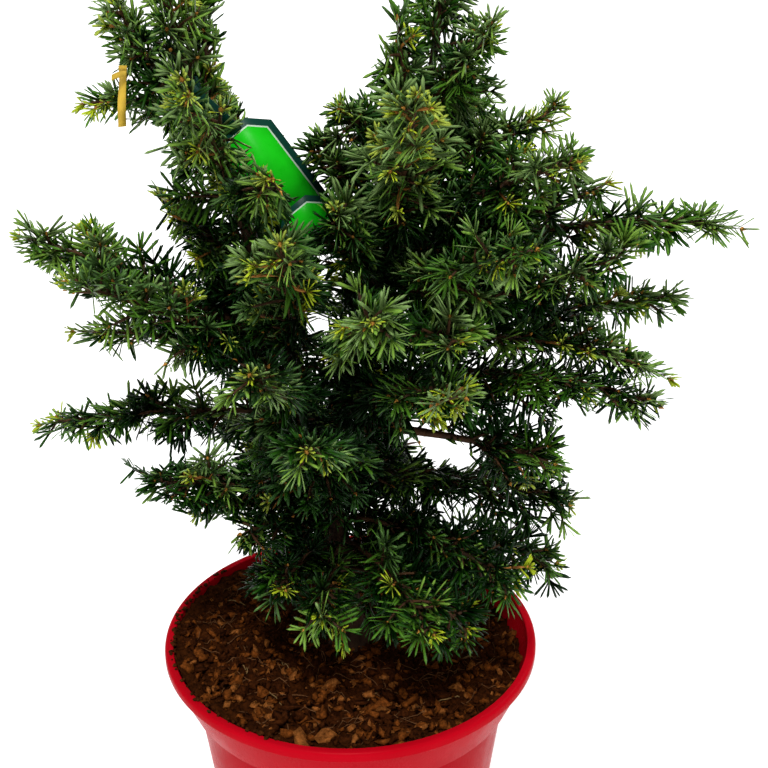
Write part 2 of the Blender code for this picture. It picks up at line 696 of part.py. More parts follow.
def main():
    for thing in list(bpy.data.objects):
        bpy.data.objects.remove(thing)
    limbs = lay_out_limbs()
    space = Space(limbs)
    make_pot(material("red_plastic", RED_PLASTIC))
    make_soil(material("soil", SOIL_BROWN))

    bark = material("bark", BARK_BROWN)
    trunk = (limbs["trunk"], TRUNK_SIDES, TRUNK_STEPS)
    leaders = {name: (limbs[name], LEADER_SIDES, LEADER_STEPS)
               for name in ("leader_left", "leader_right")}
    make_limb("trunk", *trunk, bark, lobed=True)
    make_limb("leader_left", *leaders["leader_left"], bark)
    make_limb("leader_right", *leaders["leader_right"], bark,
              carriers=(trunk, leaders["leader_left"]))
    carriers = {"trunk": trunk, **leaders}
    for name, (parent, _, _, _, bare, _) in BRANCHES.items():
        if bare:
            make_limb("bough_" + name, limbs[name], BOUGH_SIDES, BOUGH_STEPS, bark, last=bare,
                      carriers=(carriers[parent],))

    green = material("needles", NEEDLE_GREEN)
    for name in BRANCHES:
        make_mass(name, limbs[name], space, green)
    make_tag(limbs["leader_left"], material("tag_plastic", TAG_GREEN))


main()
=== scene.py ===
import itertools
import json
import math
import random
from collections import namedtuple

import bpy
import bmesh
import numpy as np
from mathutils import Matrix, Vector, noise
from mathutils.kdtree import KDTree

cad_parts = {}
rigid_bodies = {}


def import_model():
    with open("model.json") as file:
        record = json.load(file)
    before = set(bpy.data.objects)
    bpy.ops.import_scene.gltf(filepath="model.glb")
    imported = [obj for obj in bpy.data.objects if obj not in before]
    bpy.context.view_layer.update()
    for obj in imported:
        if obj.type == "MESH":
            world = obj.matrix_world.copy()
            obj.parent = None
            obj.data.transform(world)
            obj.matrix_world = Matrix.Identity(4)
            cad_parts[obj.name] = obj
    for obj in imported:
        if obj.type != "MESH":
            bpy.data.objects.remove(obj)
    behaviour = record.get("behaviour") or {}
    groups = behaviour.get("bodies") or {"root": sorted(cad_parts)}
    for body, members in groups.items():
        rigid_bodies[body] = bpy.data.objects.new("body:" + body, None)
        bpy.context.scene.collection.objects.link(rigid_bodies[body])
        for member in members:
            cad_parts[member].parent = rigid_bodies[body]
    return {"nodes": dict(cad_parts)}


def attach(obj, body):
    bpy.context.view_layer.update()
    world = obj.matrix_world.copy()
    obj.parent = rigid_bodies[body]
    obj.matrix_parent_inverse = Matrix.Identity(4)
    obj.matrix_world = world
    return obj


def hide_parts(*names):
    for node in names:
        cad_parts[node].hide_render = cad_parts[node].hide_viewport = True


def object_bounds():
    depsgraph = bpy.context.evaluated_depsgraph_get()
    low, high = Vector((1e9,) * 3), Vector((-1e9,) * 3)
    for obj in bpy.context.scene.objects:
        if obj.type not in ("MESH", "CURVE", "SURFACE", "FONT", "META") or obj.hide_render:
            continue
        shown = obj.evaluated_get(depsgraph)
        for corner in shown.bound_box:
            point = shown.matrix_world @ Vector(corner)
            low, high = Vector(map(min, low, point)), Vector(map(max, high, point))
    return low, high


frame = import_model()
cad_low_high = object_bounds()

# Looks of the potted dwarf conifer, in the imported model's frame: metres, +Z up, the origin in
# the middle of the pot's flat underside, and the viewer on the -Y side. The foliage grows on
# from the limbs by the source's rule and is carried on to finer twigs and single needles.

MILLIMETRES = 1000.0

# Clearance that touching CAD pieces keep, and corners of a flat bar's section
GAP = 0.0003
CORNERS = ((-1, -1), (1, -1), (1, 1), (-1, 1))

# Pot
POT_HEIGHT = 0.160
RIM_RADIUS = 0.095
LIP_WIDTH = 0.0045
LIP_DEPTH = 0.0045
LIP_ROUND = 0.0010
LIP_STEP = 0.0007
BAND_DEPTH = 0.028
BAND_FOOT_RADIUS = 0.0842
BODY_TOP_RADIUS = 0.0802
BODY_FOOT_RADIUS = 0.0635
FOOT_ROUND = 0.0020
POT_WALL = 0.0022
POT_FLOOR = 0.0028
POT_SEGMENTS = 144
ARC_STEPS = 5
DRAIN_HOLES = 5
DRAIN_RADIUS = 0.0055
DRAIN_RING = 0.045
DRAIN_SEGMENTS = 24
SMOOTH_POT = 32

# Soil
SOIL_LEVEL = 0.1530
SOIL_SLOPE = 0.0068
SOIL_HIGH_SIDE = 203.0
SOIL_SEED = 3
SOIL_SPOKES = 230
SOIL_CIRCLES = 74
SOIL_ROLL = 0.0015
SOIL_ROLLS = 70.0
SOIL_CRUMB = 0.0027
SOIL_CRUMBS = (260.0, 620.0)
SOIL_FLAT_REACH = 0.03
SOIL_EDGE = 0.0004
SMOOTH_SOIL = 60
LITTER_EDGE = 0.002
LITTER_REACH = 0.985
CHIP_COUNT = 1700
CHIP_LENGTHS = (0.0028, 0.0145)
CHIP_CORNERS = 7
CHIP_KINDS = {"dark": 0.50, "brown": 0.38, "pale": 0.12}
CHIP_WIDTHS = (0.35, 0.8)
CHIP_THICKNESSES = (0.10, 0.22)
CHIP_TILT = 55.0
CHIP_SEAT = 0.1
CHIP_OUTLINE = (0.45, 1.0)
CHIP_CORNER_TURN = 0.3
CHIP_UNEVENNESS = 0.9
CHIP_FADE = 0.5
CHIP_POWERS = (1.7, 1.5)
CHIPS_IN_FRONT = 0.55
CRUMB_COUNT = 1700
CRUMB_RADII = (0.0004, 0.0013)
CRUMB_SEAT = 0.4
CRUMB_SPREAD = (0.7, 1.15)
CRUMB_FLATNESS = 0.8
CRUMB_RINGS = ((-1.0, 1), (-0.4, 5), (0.5, 5), (1.0, 1))
FIBRE_COUNT = 240
FIBRE_LENGTHS = (0.006, 0.022)
FIBRE_RADIUS = 0.00022
FIBRE_STEPS = 6
FIBRE_BEND = 1.2
FIBRE_LIFTS = (0.0006, 0.0012)
STRAW_COUNT = 14
STRAW_LENGTHS = (0.010, 0.018)
STRAW_RADIUS = 0.00035
STRAWS_IN_FRONT = 0.4
RIM_CRUMBS = 110
RIM_CRUMB_SIDES = (140.0, 250.0)
RIM_CRUMB_RADII = (0.0005, 0.0015)
RIM_CRUMB_PLACES = (1.15, 0.6, 2.5)

# Trunk and leaders
TRUNK_FOOT = Vector((0.000, 0.005, SOIL_LEVEL + GAP))
FORK = Vector((-0.0155, 0.003, 0.277))
TRUNK_BEND = 3.0
TRUNK_RADIUS = 0.0068
FORK_RADIUS = 0.0050
FLARE_RADIUS = 0.0050
FLARE_HEIGHT = 0.011
FLARE_LOBES = 5
FLARE_LOBE_SHARE = 0.18
TRUNK_STEPS = 12
STEM_AND_LEADERS = ("trunk", "leader_left", "leader_right")
LEFT_LEADER_TIP = Vector((-0.068, -0.005, 0.461))
LEFT_LEADER_BEND = 2.0
RIGHT_LEADER_TIP = Vector((0.042, 0.022, 0.462))
RIGHT_LEADER_BEND = -7.0
RIGHT_LEADER_PLACE = 0.93
RIGHT_LEADER_RADIUS = 0.0042
LEADER_TIP_RADIUS = 0.0017
LEADER_STEPS = 10

# Bark: sides and steps of a tube, and the height of its flakes
TRUNK_BARK = (44, 110, 0.0007)
LEADER_BARK = (22, 130, 0.00035)
BOUGH_BARK = (12, 26, 0.0002)
BOUGH_OVERLAP = 0.02
FLAKES_AROUND = 420.0
FLAKES_ALONG = 150.0
FINE_FLAKES = 2.3
BARK_SHIFT = (3.7, 1.3, 2.1)
SMOOTH_BARK = 50

# Boughs and stems
BRANCH_STEPS = 10
BOUGH_RADIUS = 0.0028
STEM_SIDES = 3
STEM_RADIUS = 0.0016
STEM_TIP_RADIUS = 0.0008
STEM_SEARCH = 0.002
LEADER_POINTS = 13
BOUGH_POINTS = 5
MASS_POINTS = 9

# The source's rule for sprays
TIP_SPRAY_SHARE = 0.60
SPRAY_SPACING = 0.0200
FIRST_SHOOT = 0.4
SPRAY_ASPECT = 0.36
SPRAY_TEETH = (2, 3)
LONG_SPRAY = 0.042
SPRAY_THICKNESS = 0.0011
SPRAY_ANGLES = (50.0, 38.0, 64.0)
SPRAY_LENGTHS = (1.0, 0.8, 0.62, 0.48)
SPRAY_ROLLS = (5.0, 175.0, 80.0, -20.0, 200.0, 110.0)
UPRIGHT_ROLL = 137.5
UPRIGHT_RISE = 60.0
ROLL_JITTER = 15.0
SPRAY_DROOP = 0.10
NOTCH_SHARE = 0.42
NOTCH_PLACE = 0.25
POINT_PLACE = 1.05
END_RUN = 0.45
SPRAY_SWELL = (0.30, 0.55)
SPRAY_TWIST = 40.0
SPRAY_SHORTENING = 0.45
SPRAY_VARIATION = (0.85, 1.05)
STALK_HALF_WIDTH = 0.0011
TIP_HALF_WIDTH = 0.0005
SPACE_MARGIN = 0.0010
LIMB_MARGIN = 0.0022
LOWEST_NEEDLE = 0.1665
BOX_MARGIN = 0.0003

# Finer growth: shoots between the source's sprays, twiglets on shoots, and needles
FRONT_SPACING = 0.0026
FRONT_LINE = -0.055
BETWEEN_SPACING = 0.0020
BETWEEN_FLAT_SHARE = 0.5
BETWEEN_ROLL = 32.0
BETWEEN_LENGTHS = (0.55, 1.35)
BETWEEN_LAST = 0.90
BETWEEN_SHORTENING = 0.72
BETWEEN_SIZES = (1.0, 0.8, 0.62, 0.48)
BETWEEN_ANGLES = (36.0, 72.0)
BOUGH_BARE = 0.10
LEAST_SHOOT = 0.009
LEAST_POINTS = 3
SAMPLE_SHARES = (0.35, 0.6, 0.8)
SAMPLE_WIDTHS = (0.3, 0.0085)
SHOOT_SEED = 7
SHOOT_MIDDLE = 0.8
STEM_SEED = 1000
SHOOT_SWAY = 0.05
SHOOT_RUN = (0.55, 0.5)
SHOOT_FIRST_NEEDLE = 0.10
WOOD_SPACING = 0.0017
WOOD_LENGTHS = (0.022, 0.040)
TRUNK_SHOOT_SPACING = 0.0011
TRUNK_SHOOT_LENGTHS = (0.026, 0.054)
WOOD_ANGLES = (40.0, 75.0)
WOOD_ROLL_JITTER = 20.0
LOWEST_WOOD_SHOOT = 0.182
TWIGLET_SPACING = 0.0095
TWIGLET_SHARE = 0.72
TWIGLET_SPAN = (0.20, 0.66)
TWIGLET_JITTER = (0.2, 0.8)
TWIGLET_ROOM = 0.62
TWIGLET_SIZES = (0.8, 1.15)
TWIGLET_ANGLE = 50.0
TWIGLET_ANGLE_SPREAD = 8.0
TWIGLET_TILTS = (-14.0, 18.0)
TWIGLET_BEND = 0.10
TWIGLET_DROOP = 0.06
TWIGLET_FIRST_NEEDLE = 0.0012
TWIGLET_NEEDLE_SIZE = 0.94
TWIGLET_LEAST = 0.0045
TWIGLET_STRETCH = 1.35
NEEDLE_LENGTHS = (0.0112, 0.0148)
NEEDLE_WIDTH = 0.00140
NEEDLE_FULL_WIDTH = 0.0110
NEEDLE_WIDTH_RANGE = (0.80, 1.10)
NEEDLE_ROOT = 0.80
NEEDLE_SHOULDER = 0.84
NEEDLE_RIDGE = 0.00040
NEEDLE_STEP = 0.00150
NEEDLE_JITTER = 0.3
NEEDLE_SWELL = (0.72, 0.38)
NEEDLE_SWELL_RUN = (0.15, 0.75)
NEEDLE_ANGLES = (76.0, 50.0)
NEEDLE_DROOP = 0.05
TOP_NEEDLES = 0.18
LOWER_NEEDLES = 0.10
END_NEEDLES = 8
TWIGLET_END_NEEDLES = 5
TOP_LIFTS = (40.0, 90.0)
FLAT_LIFT = (10.0, 11.0)
LOWER_LIFTS = (-80.0, -25.0)
TOP_SIZE = 0.80
LEAN_SPREAD = 5.5
TURN_SPREAD = 22.0
LENGTH_SPREAD = (0.86, 1.10)
ROSETTE_LEANS = (18.0, 66.0)
ROSETTE_LENGTHS = (0.62, 0.92)
ROSETTE_FLATNESS = 0.7
ROSETTE_FACING = (0.8, 0.3)
ROSETTE_DEPTH = 0.0015
FRESH_REACH = 0.0045
FRESH_SIZE = 0.62
FRESH_STEMS = 0.7
FRESH_TWIGLETS = 0.7
# Painted light of the needles on the masses' own stems, on the scale that deals the needle tints
STEM_PAINTED_LIGHT = 0.8
STEM_FIRST_NEEDLE = 0.12
STEM_POINTS = 14
TWIG_TOP = (0.31, 0.23, 0.92)
BUD_TOP = (0.3, 0.2, 0.9)
BUD_SHARE = 0.5
BUD_RADIUS = 0.0009
STEM_BUD_RADIUS = 0.00117
SMOOTH_BUDS = 60
BUD_LENGTH = 2.2
BUD_SIDES = 5
SHOOT_RADII = (0.00085, 0.00060)
TWIGLET_RADII = (0.00056, 0.00044)
STEM_END_RADIUS = 0.0006
# How the needle tints paint light and shade: sprays that stand open and high get lighter tints as
# painted light, while crowded and low sprays and those near the heart get darker tints as painted
# shade.
CROWD_REACH = 0.030
OPEN_WEIGHT = 0.60
HEIGHT_WEIGHT = 0.66
PAINTED_LIGHT_LOSS = 0.10
HEART = Vector((0.0, 0.010, 0.285))
HEART_REACH = 0.135
HEART_PAINTED_SHADE = 0.50
FRESH_LOW = 0.25
LIGHT_HEIGHTS = (0.16, 0.46)
TINT_LEAN = 4.6
FRESH_SHARES = (0.03, 0.40)

# Places where the photograph shows sky, in millimetres: the line of sight through (x, z) in
# the plane y = 0, and the radius kept free there. First the gap between the leaders, then the
# gaps inside the crown, and last the sky beside the left and the right arms.
SKY = (
    (-23, 480, 25), (-24, 459, 25), (-27, 441, 15), (4, 476, 14), (0, 460, 13), (15, 462, 3),
    (19, 474, 4), (-18, 437, 7), (-49, 474, 3), (-48, 463, 3), (-49, 453, 3), (-13, 334, 4),
    (-51, 291, 3), (-40, 289, 3), (32, 281, 3), (31, 269, 3), (37, 275, 4), (45, 269, 6),
    (56, 262, 4), (-129, 469, 19), (-98, 427, 4), (-108, 410, 17), (-135, 402, 13),
    (-106, 391, 4), (-84, 424, 5), (-91, 414, 4), (-83, 413, 3), (-80, 405, 3), (-88, 393, 5),
    (-85, 384, 3), (-149, 349, 14), (-132, 347, 5), (-125, 345, 3), (-118, 344, 3),
    (-150, 306, 16), (-118, 310, 9), (-107, 320, 3), (-92, 315, 6), (-85, 320, 4),
    (-129, 296, 4), (-118, 299, 4), (-107, 302, 4), (-141, 244, 24), (-112, 255, 4),
    (-99, 214, 20), (-101, 265, 4), (-91, 265, 4), (-63, 221, 6), (-73, 190, 11),
    (104, 461, 17), (126, 432, 16), (76, 468, 4), (74, 435, 3), (82, 443, 4), (111, 426, 6),
    (114, 407, 4), (101, 397, 2), (103, 389, 3), (100, 381, 2), (153, 418, 21), (179, 404, 10),
    (162, 364, 7), (185, 345, 19), (135, 358, 3), (137, 328, 4), (124, 334, 3), (156, 322, 7),
    (172, 277, 21), (109, 284, 5), (132, 265, 14), (110, 264, 4), (113, 250, 4), (117, 233, 5),
    (130, 227, 13), (111, 211, 4),
)

# Places on the tag, as shares of its length and width, that nothing hides in the photograph,
# and the radius kept free in front of them
TAG_VIEWS = (
    (0.08, -0.25, 0.0042), (0.10, -0.05, 0.0042), (0.22, -0.25, 0.0060), (0.38, -0.24, 0.0060),
    (0.54, -0.24, 0.0056), (0.66, -0.25, 0.0042), (0.69, -0.04, 0.0036), (0.78, -0.24, 0.0032),
    (-0.07, -0.05, 0.0036), (-0.18, -0.02, 0.0034),
)

# Hang tag
TAG_WIDTH = 0.0300
TAG_CHAMFER = 0.0086
TAG_THICKNESS = 0.0008
TAG_HEAD = Vector((-0.0475, 0.004, 0.4270))
TAG_TOE = Vector((-0.0087, 0.025, 0.3629))
TAG_FACING = Vector((0.0, -0.90, 0.44))
TAG_CLEARANCE = 0.0020
TAG_BORDER = 0.0030
TAG_LINE = 0.0007
TAG_STEP = 0.00012
SECOND_PANEL = 0.0490
PANEL_END = 0.0002
STRAP_WIDTH = 0.0052
STRAP_THICKNESS = 0.0007
STRAP_SINK = 0.0020
STRAP_ELBOW = 0.0085
RING_PLACE = 0.93
RING_WALL = 0.0010
RING_HEIGHT = 0.0050
RING_SEGMENTS = 32

# Yellow strip that hangs in the left crown
STRIP_TOP = Vector((-0.0882, -0.0320, 0.4640))
STRIP_LENGTH = 0.026
STRIP_WIDTH = 0.0034
STRIP_THICKNESS = 0.0005
STRIP_STEPS = 14
STRIP_DRIFT = -0.0024
STRIP_WAVE = (0.0012, 7.5)
STRIP_TURN = (0.5, 5.3)
FLAP_PLACE = (0.0014, -0.0010, -0.0030)
FLAP_LENGTH = 0.0060
FLAP_DEPTH = 0.0008
FLAP_DROOP = 0.0016
FLAP_TURN = 0.7
FLAP_WIDTH = 0.7

# Camera, from the shape of the pot's rim in the photograph
CAMERA_PLACE = Vector((0.0178, -0.6509, 0.6251))
CAMERA_TILT = 26.36
CAMERA_ROLL = 0.28
CAMERA_FOCAL_PIXELS = 1534.5
IMAGE_WIDTH = 768
SENSOR_WIDTH = 36.0

# Studio: the floor's reach, the sky's strength, and for each lamp its place, strength and
# spread in degrees
FLOOR_REACH = 60.0
SKY_STRENGTH = 0.42
LAMPS = {
    "key": ((-0.03, -0.60, 1.1), 2.6, 14.0),
    "back": ((0.5, 0.8, 1.2), 0.9, 30.0),
}

# Each branch: parent limb, place along it, tip, bend in degrees, share of the branch that is
# a bare bough, and length of its longest spray. Tips and lengths are in millimetres. A bend
# below zero turns a branch upwards.
Branch = namedtuple("Branch", "parent place tip bend bare spray")
BRANCHES = {
    "left_crown_tip": Branch("leader_left", 1.00, (-74, -5, 497), 3, 0, 30),
    "left_crown_right": Branch("leader_left", 0.84, (-59, 14, 489), -14, 0, 20),
    "left_crown_west": Branch("leader_left", 0.85, (-94, -12, 491), -16, 0, 30),
    "left_crown_arm": Branch("leader_left", 0.82, (-115, -20, 442), 30, 0, 20),
    "left_crown_front": Branch("leader_left", 0.66, (-60, -74, 472), 4, 0, 34),
    "left_crown_east": Branch("leader_left", 0.76, (-48, -40, 450), 4, 0, 26),
    "left_crown_back": Branch("leader_left", 0.58, (-62, 94, 425), 8, 0, 36),
    "left_waist_front": Branch("leader_left", 0.58, (-25, -60, 425), 12, 0, 32),
    "left_waist_west": Branch("leader_left", 0.40, (-86, 4, 399), 4, 0, 34),
    "west_arm_upper": Branch("leader_left", 0.21, (-146, -25, 389), 10, 0.30, 48),
    "west_arm_fork": Branch("leader_left", 0.14, (-123, -50, 378), 8, 0, 40),
    "west_arm_middle": Branch("leader_left", 0.11, (-132, -4, 332), 20, 0, 26),
    "west_arm_lower": Branch("leader_left", 0.04, (-156, 10, 275), 9, 0, 32),
    "west_arm_low": Branch("trunk", 0.66, (-96, -30, 267), 8, 0, 52),
    "front_shoulder": Branch("leader_left", 0.17, (-23, -88, 410), 8, 0, 38),
    "front_left": Branch("trunk", 0.86, (-38, -98, 356), 12, 0, 44),
    "front_middle": Branch("trunk", 0.72, (-14, -108, 325), 14, 0, 44),
    "front_skirt_left": Branch("trunk", 0.56, (-55, -44, 244), 16, 0, 50),
    "front_skirt_middle": Branch("trunk", 0.40, (-13, -64, 208), 24, 0, 46),
    "front_skirt_right": Branch("trunk", 0.50, (43, -78, 207), 24, 0, 46),
    "skirt_left_low": Branch("trunk", 0.46, (-35, -52, 217), 24, 0, 42),
    "skirt_right_low": Branch("trunk", 0.34, (62, -56, 195), 26, 0, 42),
    "right_skirt_front": Branch("trunk", 0.60, (85, -44, 212), 22, 0, 44),
    "right_skirt_upper": Branch("trunk", 0.82, (117, 12, 226), 12, 0, 44),
    "right_skirt_lower": Branch("trunk", 0.46, (112, 17, 188), 16, 0, 42),
    "front_right_low": Branch("leader_right", 0.10, (54, -100, 344), 12, 0, 44),
    "front_right": Branch("leader_right", 0.20, (14, -112, 384), 12, 0, 44),
    "front_right_middle": Branch("leader_right", 0.27, (53, -80, 360), 8, 0, 42),
    "front_spray": Branch("leader_right", 0.33, (83, -84, 404), 8, 0, 40),
    "right_low": Branch("leader_right", 0.05, (103, -26, 271), 12, 0.40, 52),
    "right_arm_lower": Branch("leader_right", 0.13, (151, -26, 300), 24, 0.30, 46),
    "right_waist": Branch("leader_right", 0.23, (155, -22, 312), 25, 0, 38),
    "right_arm_middle": Branch("leader_right", 0.29, (163, 28, 334), 3, 0, 34),
    "right_arm_upper": Branch("leader_right", 0.42, (186, -4, 380), 20, 0.34, 28),
    "right_arm_short": Branch("leader_right", 0.37, (132, -34, 388), -16, 0, 32),
    "right_shoulder": Branch("leader_right", 0.50, (121, -16, 410), -8, 0, 34),
    "crown_right": Branch("leader_right", 0.62, (103, 18, 434), 4, 0, 30),
    "crown_right_top": Branch("leader_right", 0.84, (68, 4, 475), -4, 0, 22),
    "crown_tip": Branch("leader_right", 1.00, (45, 25, 492), 2, 0, 22),
    "crown_left_top": Branch("leader_right", 0.80, (24, 2, 481), -16, 0, 26),
    "crown_left_upper": Branch("leader_right", 0.70, (-4, -4, 443), -6, 0, 34),
    "crown_left": Branch("leader_right", 0.56, (-12, 10, 423), -8, 0, 32),
    "crown_front": Branch("leader_right", 0.48, (32, -70, 466), -6, 0, 42),
    "crown_middle": Branch("leader_right", 0.56, (104, -40, 426), 4, 0, 40),
    "middle_front": Branch("leader_right", 0.40, (-4, -40, 408), -4, 0, 40),
    "back_top": Branch("leader_right", 0.68, (64, 112, 412), 8, 0, 40),
    "back_right": Branch("leader_right", 0.34, (106, 122, 330), 12, 0, 50),
    "back_left": Branch("leader_left", 0.22, (-66, 124, 320), 12, 0, 50),
    "back_skirt_left": Branch("trunk", 0.74, (-62, 116, 232), 14, 0, 48),
    "back_skirt_right": Branch("trunk", 0.66, (40, 120, 206), 14, 0, 46),
}
BOUGHS = [name for name, branch in BRANCHES.items() if branch.bare]

# Masses that the photograph shows darker or lighter than their place alone would make them:
# shifts of their sprays' painted light and shade
MASS_PAINTED_LIGHT = {
    "front_left": -0.14, "front_middle": -0.16, "front_right_low": -0.20, "front_shoulder": -0.14,
    "front_right": -0.06, "left_waist_front": -0.10, "left_crown_front": -0.05,
    "west_arm_upper": -0.04, "crown_front": -0.06, "right_arm_short": -0.08,
    "front_right_middle": 0.10, "front_spray": 0.12,
}

# Needle tints: top colour, underside colour and share of the sprays. Apart from the fresh tips,
# these tints are painted light and shade: the darker tints go to crowded, low and inner sprays as
# painted shade, the lighter ones to open, high sprays as painted light, and the light tint is
# paled towards white as a painted highlight.
Tint = namedtuple("Tint", "top under share")
TINTS = {
    "shade": Tint((0.0020, 0.018, 0.0010), (0.005, 0.026, 0.003), 0.30),
    "deep": Tint((0.015, 0.068, 0.004), (0.024, 0.074, 0.014), 0.28),
    "green": Tint((0.062, 0.170, 0.013), (0.078, 0.168, 0.040), 0.27),
    "light": Tint((0.165, 0.305, 0.040), (0.185, 0.300, 0.090), 0.18),
    "fresh": Tint((0.400, 0.500, 0.020), (0.360, 0.450, 0.060), 0.0),
}

# Dark and light colours of wood, and of soil with the scale of its grains
WOOD_COLOURS = {
    "bark_rough": ((0.012, 0.006, 0.004), (0.048, 0.024, 0.013)),
    "bark_young": ((0.020, 0.009, 0.005), (0.060, 0.028, 0.013)),
    "twig_old": ((0.024, 0.011, 0.004), (0.080, 0.034, 0.012)),
    "twig_young": ((0.150, 0.052, 0.010), (0.400, 0.170, 0.032)),
    "bud_brown": ((0.260, 0.095, 0.016), (0.560, 0.270, 0.045)),
}
SOIL_COLOURS = {
    "soil_dark": ((0.003, 0.0008, 0.0003), (0.038, 0.010, 0.002), 420.0),
    "chip_dark": ((0.004, 0.001, 0.0003), (0.050, 0.013, 0.003), 620.0),
    "chip_brown": ((0.018, 0.005, 0.0008), (0.175, 0.048, 0.008), 620.0),
    "chip_pale": ((0.045, 0.012, 0.002), (0.300, 0.100, 0.022), 620.0),
    "crumb_brown": ((0.006, 0.002, 0.0006), (0.060, 0.017, 0.004), 500.0),
    "fibre_brown": ((0.060, 0.024, 0.010), (0.170, 0.075, 0.030), 200.0),
    "straw_pale": ((0.150, 0.085, 0.030), (0.270, 0.165, 0.065), 200.0),
}
RED_COLOURS = ((0.38, 0.001, 0.006), (0.46, 0.002, 0.010))
CARD_COLOURS = {
    "tag_dark": (0.006, 0.050, 0.034),
    "tag_pale": (0.55, 0.70, 0.55),
    "tag_green": (0.010, 0.560, 0.010),
    "strip_yellow": (0.62, 0.41, 0.05),
}
CARD_SPREAD = 0.12
STRIP_SPREAD = 0.35
FLOOR_GREYS = (0.68, 0.72)
FLOOR_GLOW = 0.60


# Materials

class Nodes:
    """Short forms for building a material's nodes."""

    def __init__(self, name):
        self.material = bpy.data.materials.new(name)
        self.material.use_nodes = True
        self.tree = self.material.node_tree
        self.shader = self.tree.nodes["Principled BSDF"]
        self.place = self.add("ShaderNodeTexCoord").outputs["Object"]

    def add(self, kind, **values):
        node = self.tree.nodes.new(kind)
        for key, value in values.items():
            setattr(node, key, value)
        return node

    def link(self, source, target):
        self.tree.links.new(source, target)

    def stretched(self, scale):
        """Object coordinates times a scale for each axis."""
        node = self.add("ShaderNodeMapping")
        node.inputs["Scale"].default_value = scale
        self.link(self.place, node.inputs["Vector"])
        return node.outputs["Vector"]

    def noise(self, scale, detail=3.0, roughness=0.55, vector=None):
        node = self.add("ShaderNodeTexNoise")
        node.inputs["Scale"].default_value = scale
        node.inputs["Detail"].default_value = detail
        node.inputs["Roughness"].default_value = roughness
        self.link(vector or self.place, node.inputs["Vector"])
        return node.outputs["Fac"]

    def ramp(self, value, *stops):
        """Colours at places of a value, as (place, colour) pairs."""
        node = self.add("ShaderNodeValToRGB")
        ramp = node.color_ramp
        while len(ramp.elements) < len(stops):
            ramp.elements.new(0.5)
        for element, (place, colour) in zip(ramp.elements, stops):
            element.position = place
            element.color = (*colour, 1.0)
        self.link(value, node.inputs["Fac"])
        return node.outputs["Color"]

    def spread(self, value, low, high, first=0.3, last=0.7):
        """A value carried from one range to another."""
        node = self.add("ShaderNodeMapRange")
        for key, number in (("From Min", first), ("From Max", last),
                            ("To Min", low), ("To Max", high)):
            node.inputs[key].default_value = number
        self.link(value, node.inputs["Value"])
        return node.outputs["Result"]

    def bump(self, height, strength, distance):
        node = self.add("ShaderNodeBump")
        node.inputs["Strength"].default_value = strength
        node.inputs["Distance"].default_value = distance
        self.link(height, node.inputs["Height"])
        self.link(node.outputs["Normal"], self.shader.inputs["Normal"])

    def finish(self, colour, rough, specular, bump=None):
        """Links colours as (value, stop, stop ...), roughness as (value, low, high) and relief
        as (value, strength, distance)."""
        inputs = self.shader.inputs
        self.link(self.ramp(*colour), inputs["Base Color"])
        self.link(self.spread(*rough), inputs["Roughness"])
        inputs["Specular IOR Level"].default_value = specular
        if bump:
            self.bump(*bump)
        return self.material


def scaled(colour, factor):
    return tuple(part * factor for part in colour)


def needle_material(name, colour):
    """Half glossy needles with patches of a lighter tone."""
    made = Nodes(name)
    return made.finish((made.noise(90.0, 2.0), (0.30, scaled(colour, 0.72)),
                        (0.70, scaled(colour, 1.28))),
                       (made.noise(260.0), 0.28, 0.42), 0.14,
                       (made.noise(900.0), 0.25, 0.0002))


def bark_material(name):
    """Dull bark in flakes drawn out along the limb."""
    dark, light = WOOD_COLOURS[name]
    made = Nodes(name)
    flakes = made.noise(260.0, 6.0, 0.65, made.stretched((1.0, 1.0, 0.35)))
    return made.finish((flakes, (0.30, dark), (0.52, light), (0.72, scaled(light, 1.5))),
                       (flakes, 0.75, 0.92), 0.15, (flakes, 0.8, 0.0006))


def twig_material(name):
    """Thin dull skin of twigs and buds."""
    dark, light = WOOD_COLOURS[name]
    made = Nodes(name)
    patches = made.noise(210.0, 4.0)
    return made.finish((patches, (0.32, dark), (0.68, light)), (patches, 0.60, 0.80), 0.2,
                       (made.noise(1400.0), 0.4, 0.0003))


def red_material():
    """Smooth red plastic with fine upright scratches and scuffs."""
    made = Nodes("red_plastic")
    scratches = made.noise(1.0, 5.0, 0.7, made.stretched((900.0, 900.0, 40.0)))
    scuffs = made.noise(75.0, 5.0, 0.7)
    mixed = made.add("ShaderNodeMath", operation="MULTIPLY")
    made.link(scratches, mixed.inputs[0])
    made.link(scuffs, mixed.inputs[1])
    return made.finish((made.noise(14.0, 4.0), (0.30, RED_COLOURS[0]), (0.70, RED_COLOURS[1])),
                       (mixed.outputs[0], 0.20, 0.42, 0.15, 0.40), 0.012,
                       (mixed.outputs[0], 0.10, 0.0004))


def soil_material(name):
    """Moist dull grains, dark with light specks."""
    dark, light, scale = SOIL_COLOURS[name]
    made = Nodes(name)
    grains = made.noise(scale, 6.0, 0.7)
    return made.finish((grains, (0.30, dark), (0.55, light), (0.78, scaled(light, 1.9))),
                       (grains, 0.80, 0.97), 0.02,
                       (made.noise(scale * 3.0, 5.0, 0.7), 0.9, 0.0007))


def card_material(name, strength=CARD_SPREAD):
    """Printed stiff plastic card."""
    colour = CARD_COLOURS[name]
    made = Nodes(name)
    return made.finish((made.noise(60.0, 3.0), (0.30, scaled(colour, 1.0 - strength)),
                        (0.70, scaled(colour, 1.0 + strength))),
                       (made.noise(400.0), 0.26, 0.40), 0.06,
                       (made.noise(700.0), 0.08, 0.0002))


def floor_material():
    """The pale studio floor, which glows a little of its own."""
    made = Nodes("studio_floor")
    tone = made.noise(1.5, 2.0)
    low, high = FLOOR_GREYS
    made.shader.inputs["Emission Color"].default_value = (1.0, 1.0, 1.0, 1.0)
    made.shader.inputs["Emission Strength"].default_value = FLOOR_GLOW
    return made.finish((tone, (0.0, (low, low, low)), (1.0, (high, high, high))),
                       (tone, 0.70, 0.80), 0.0)


# Meshes

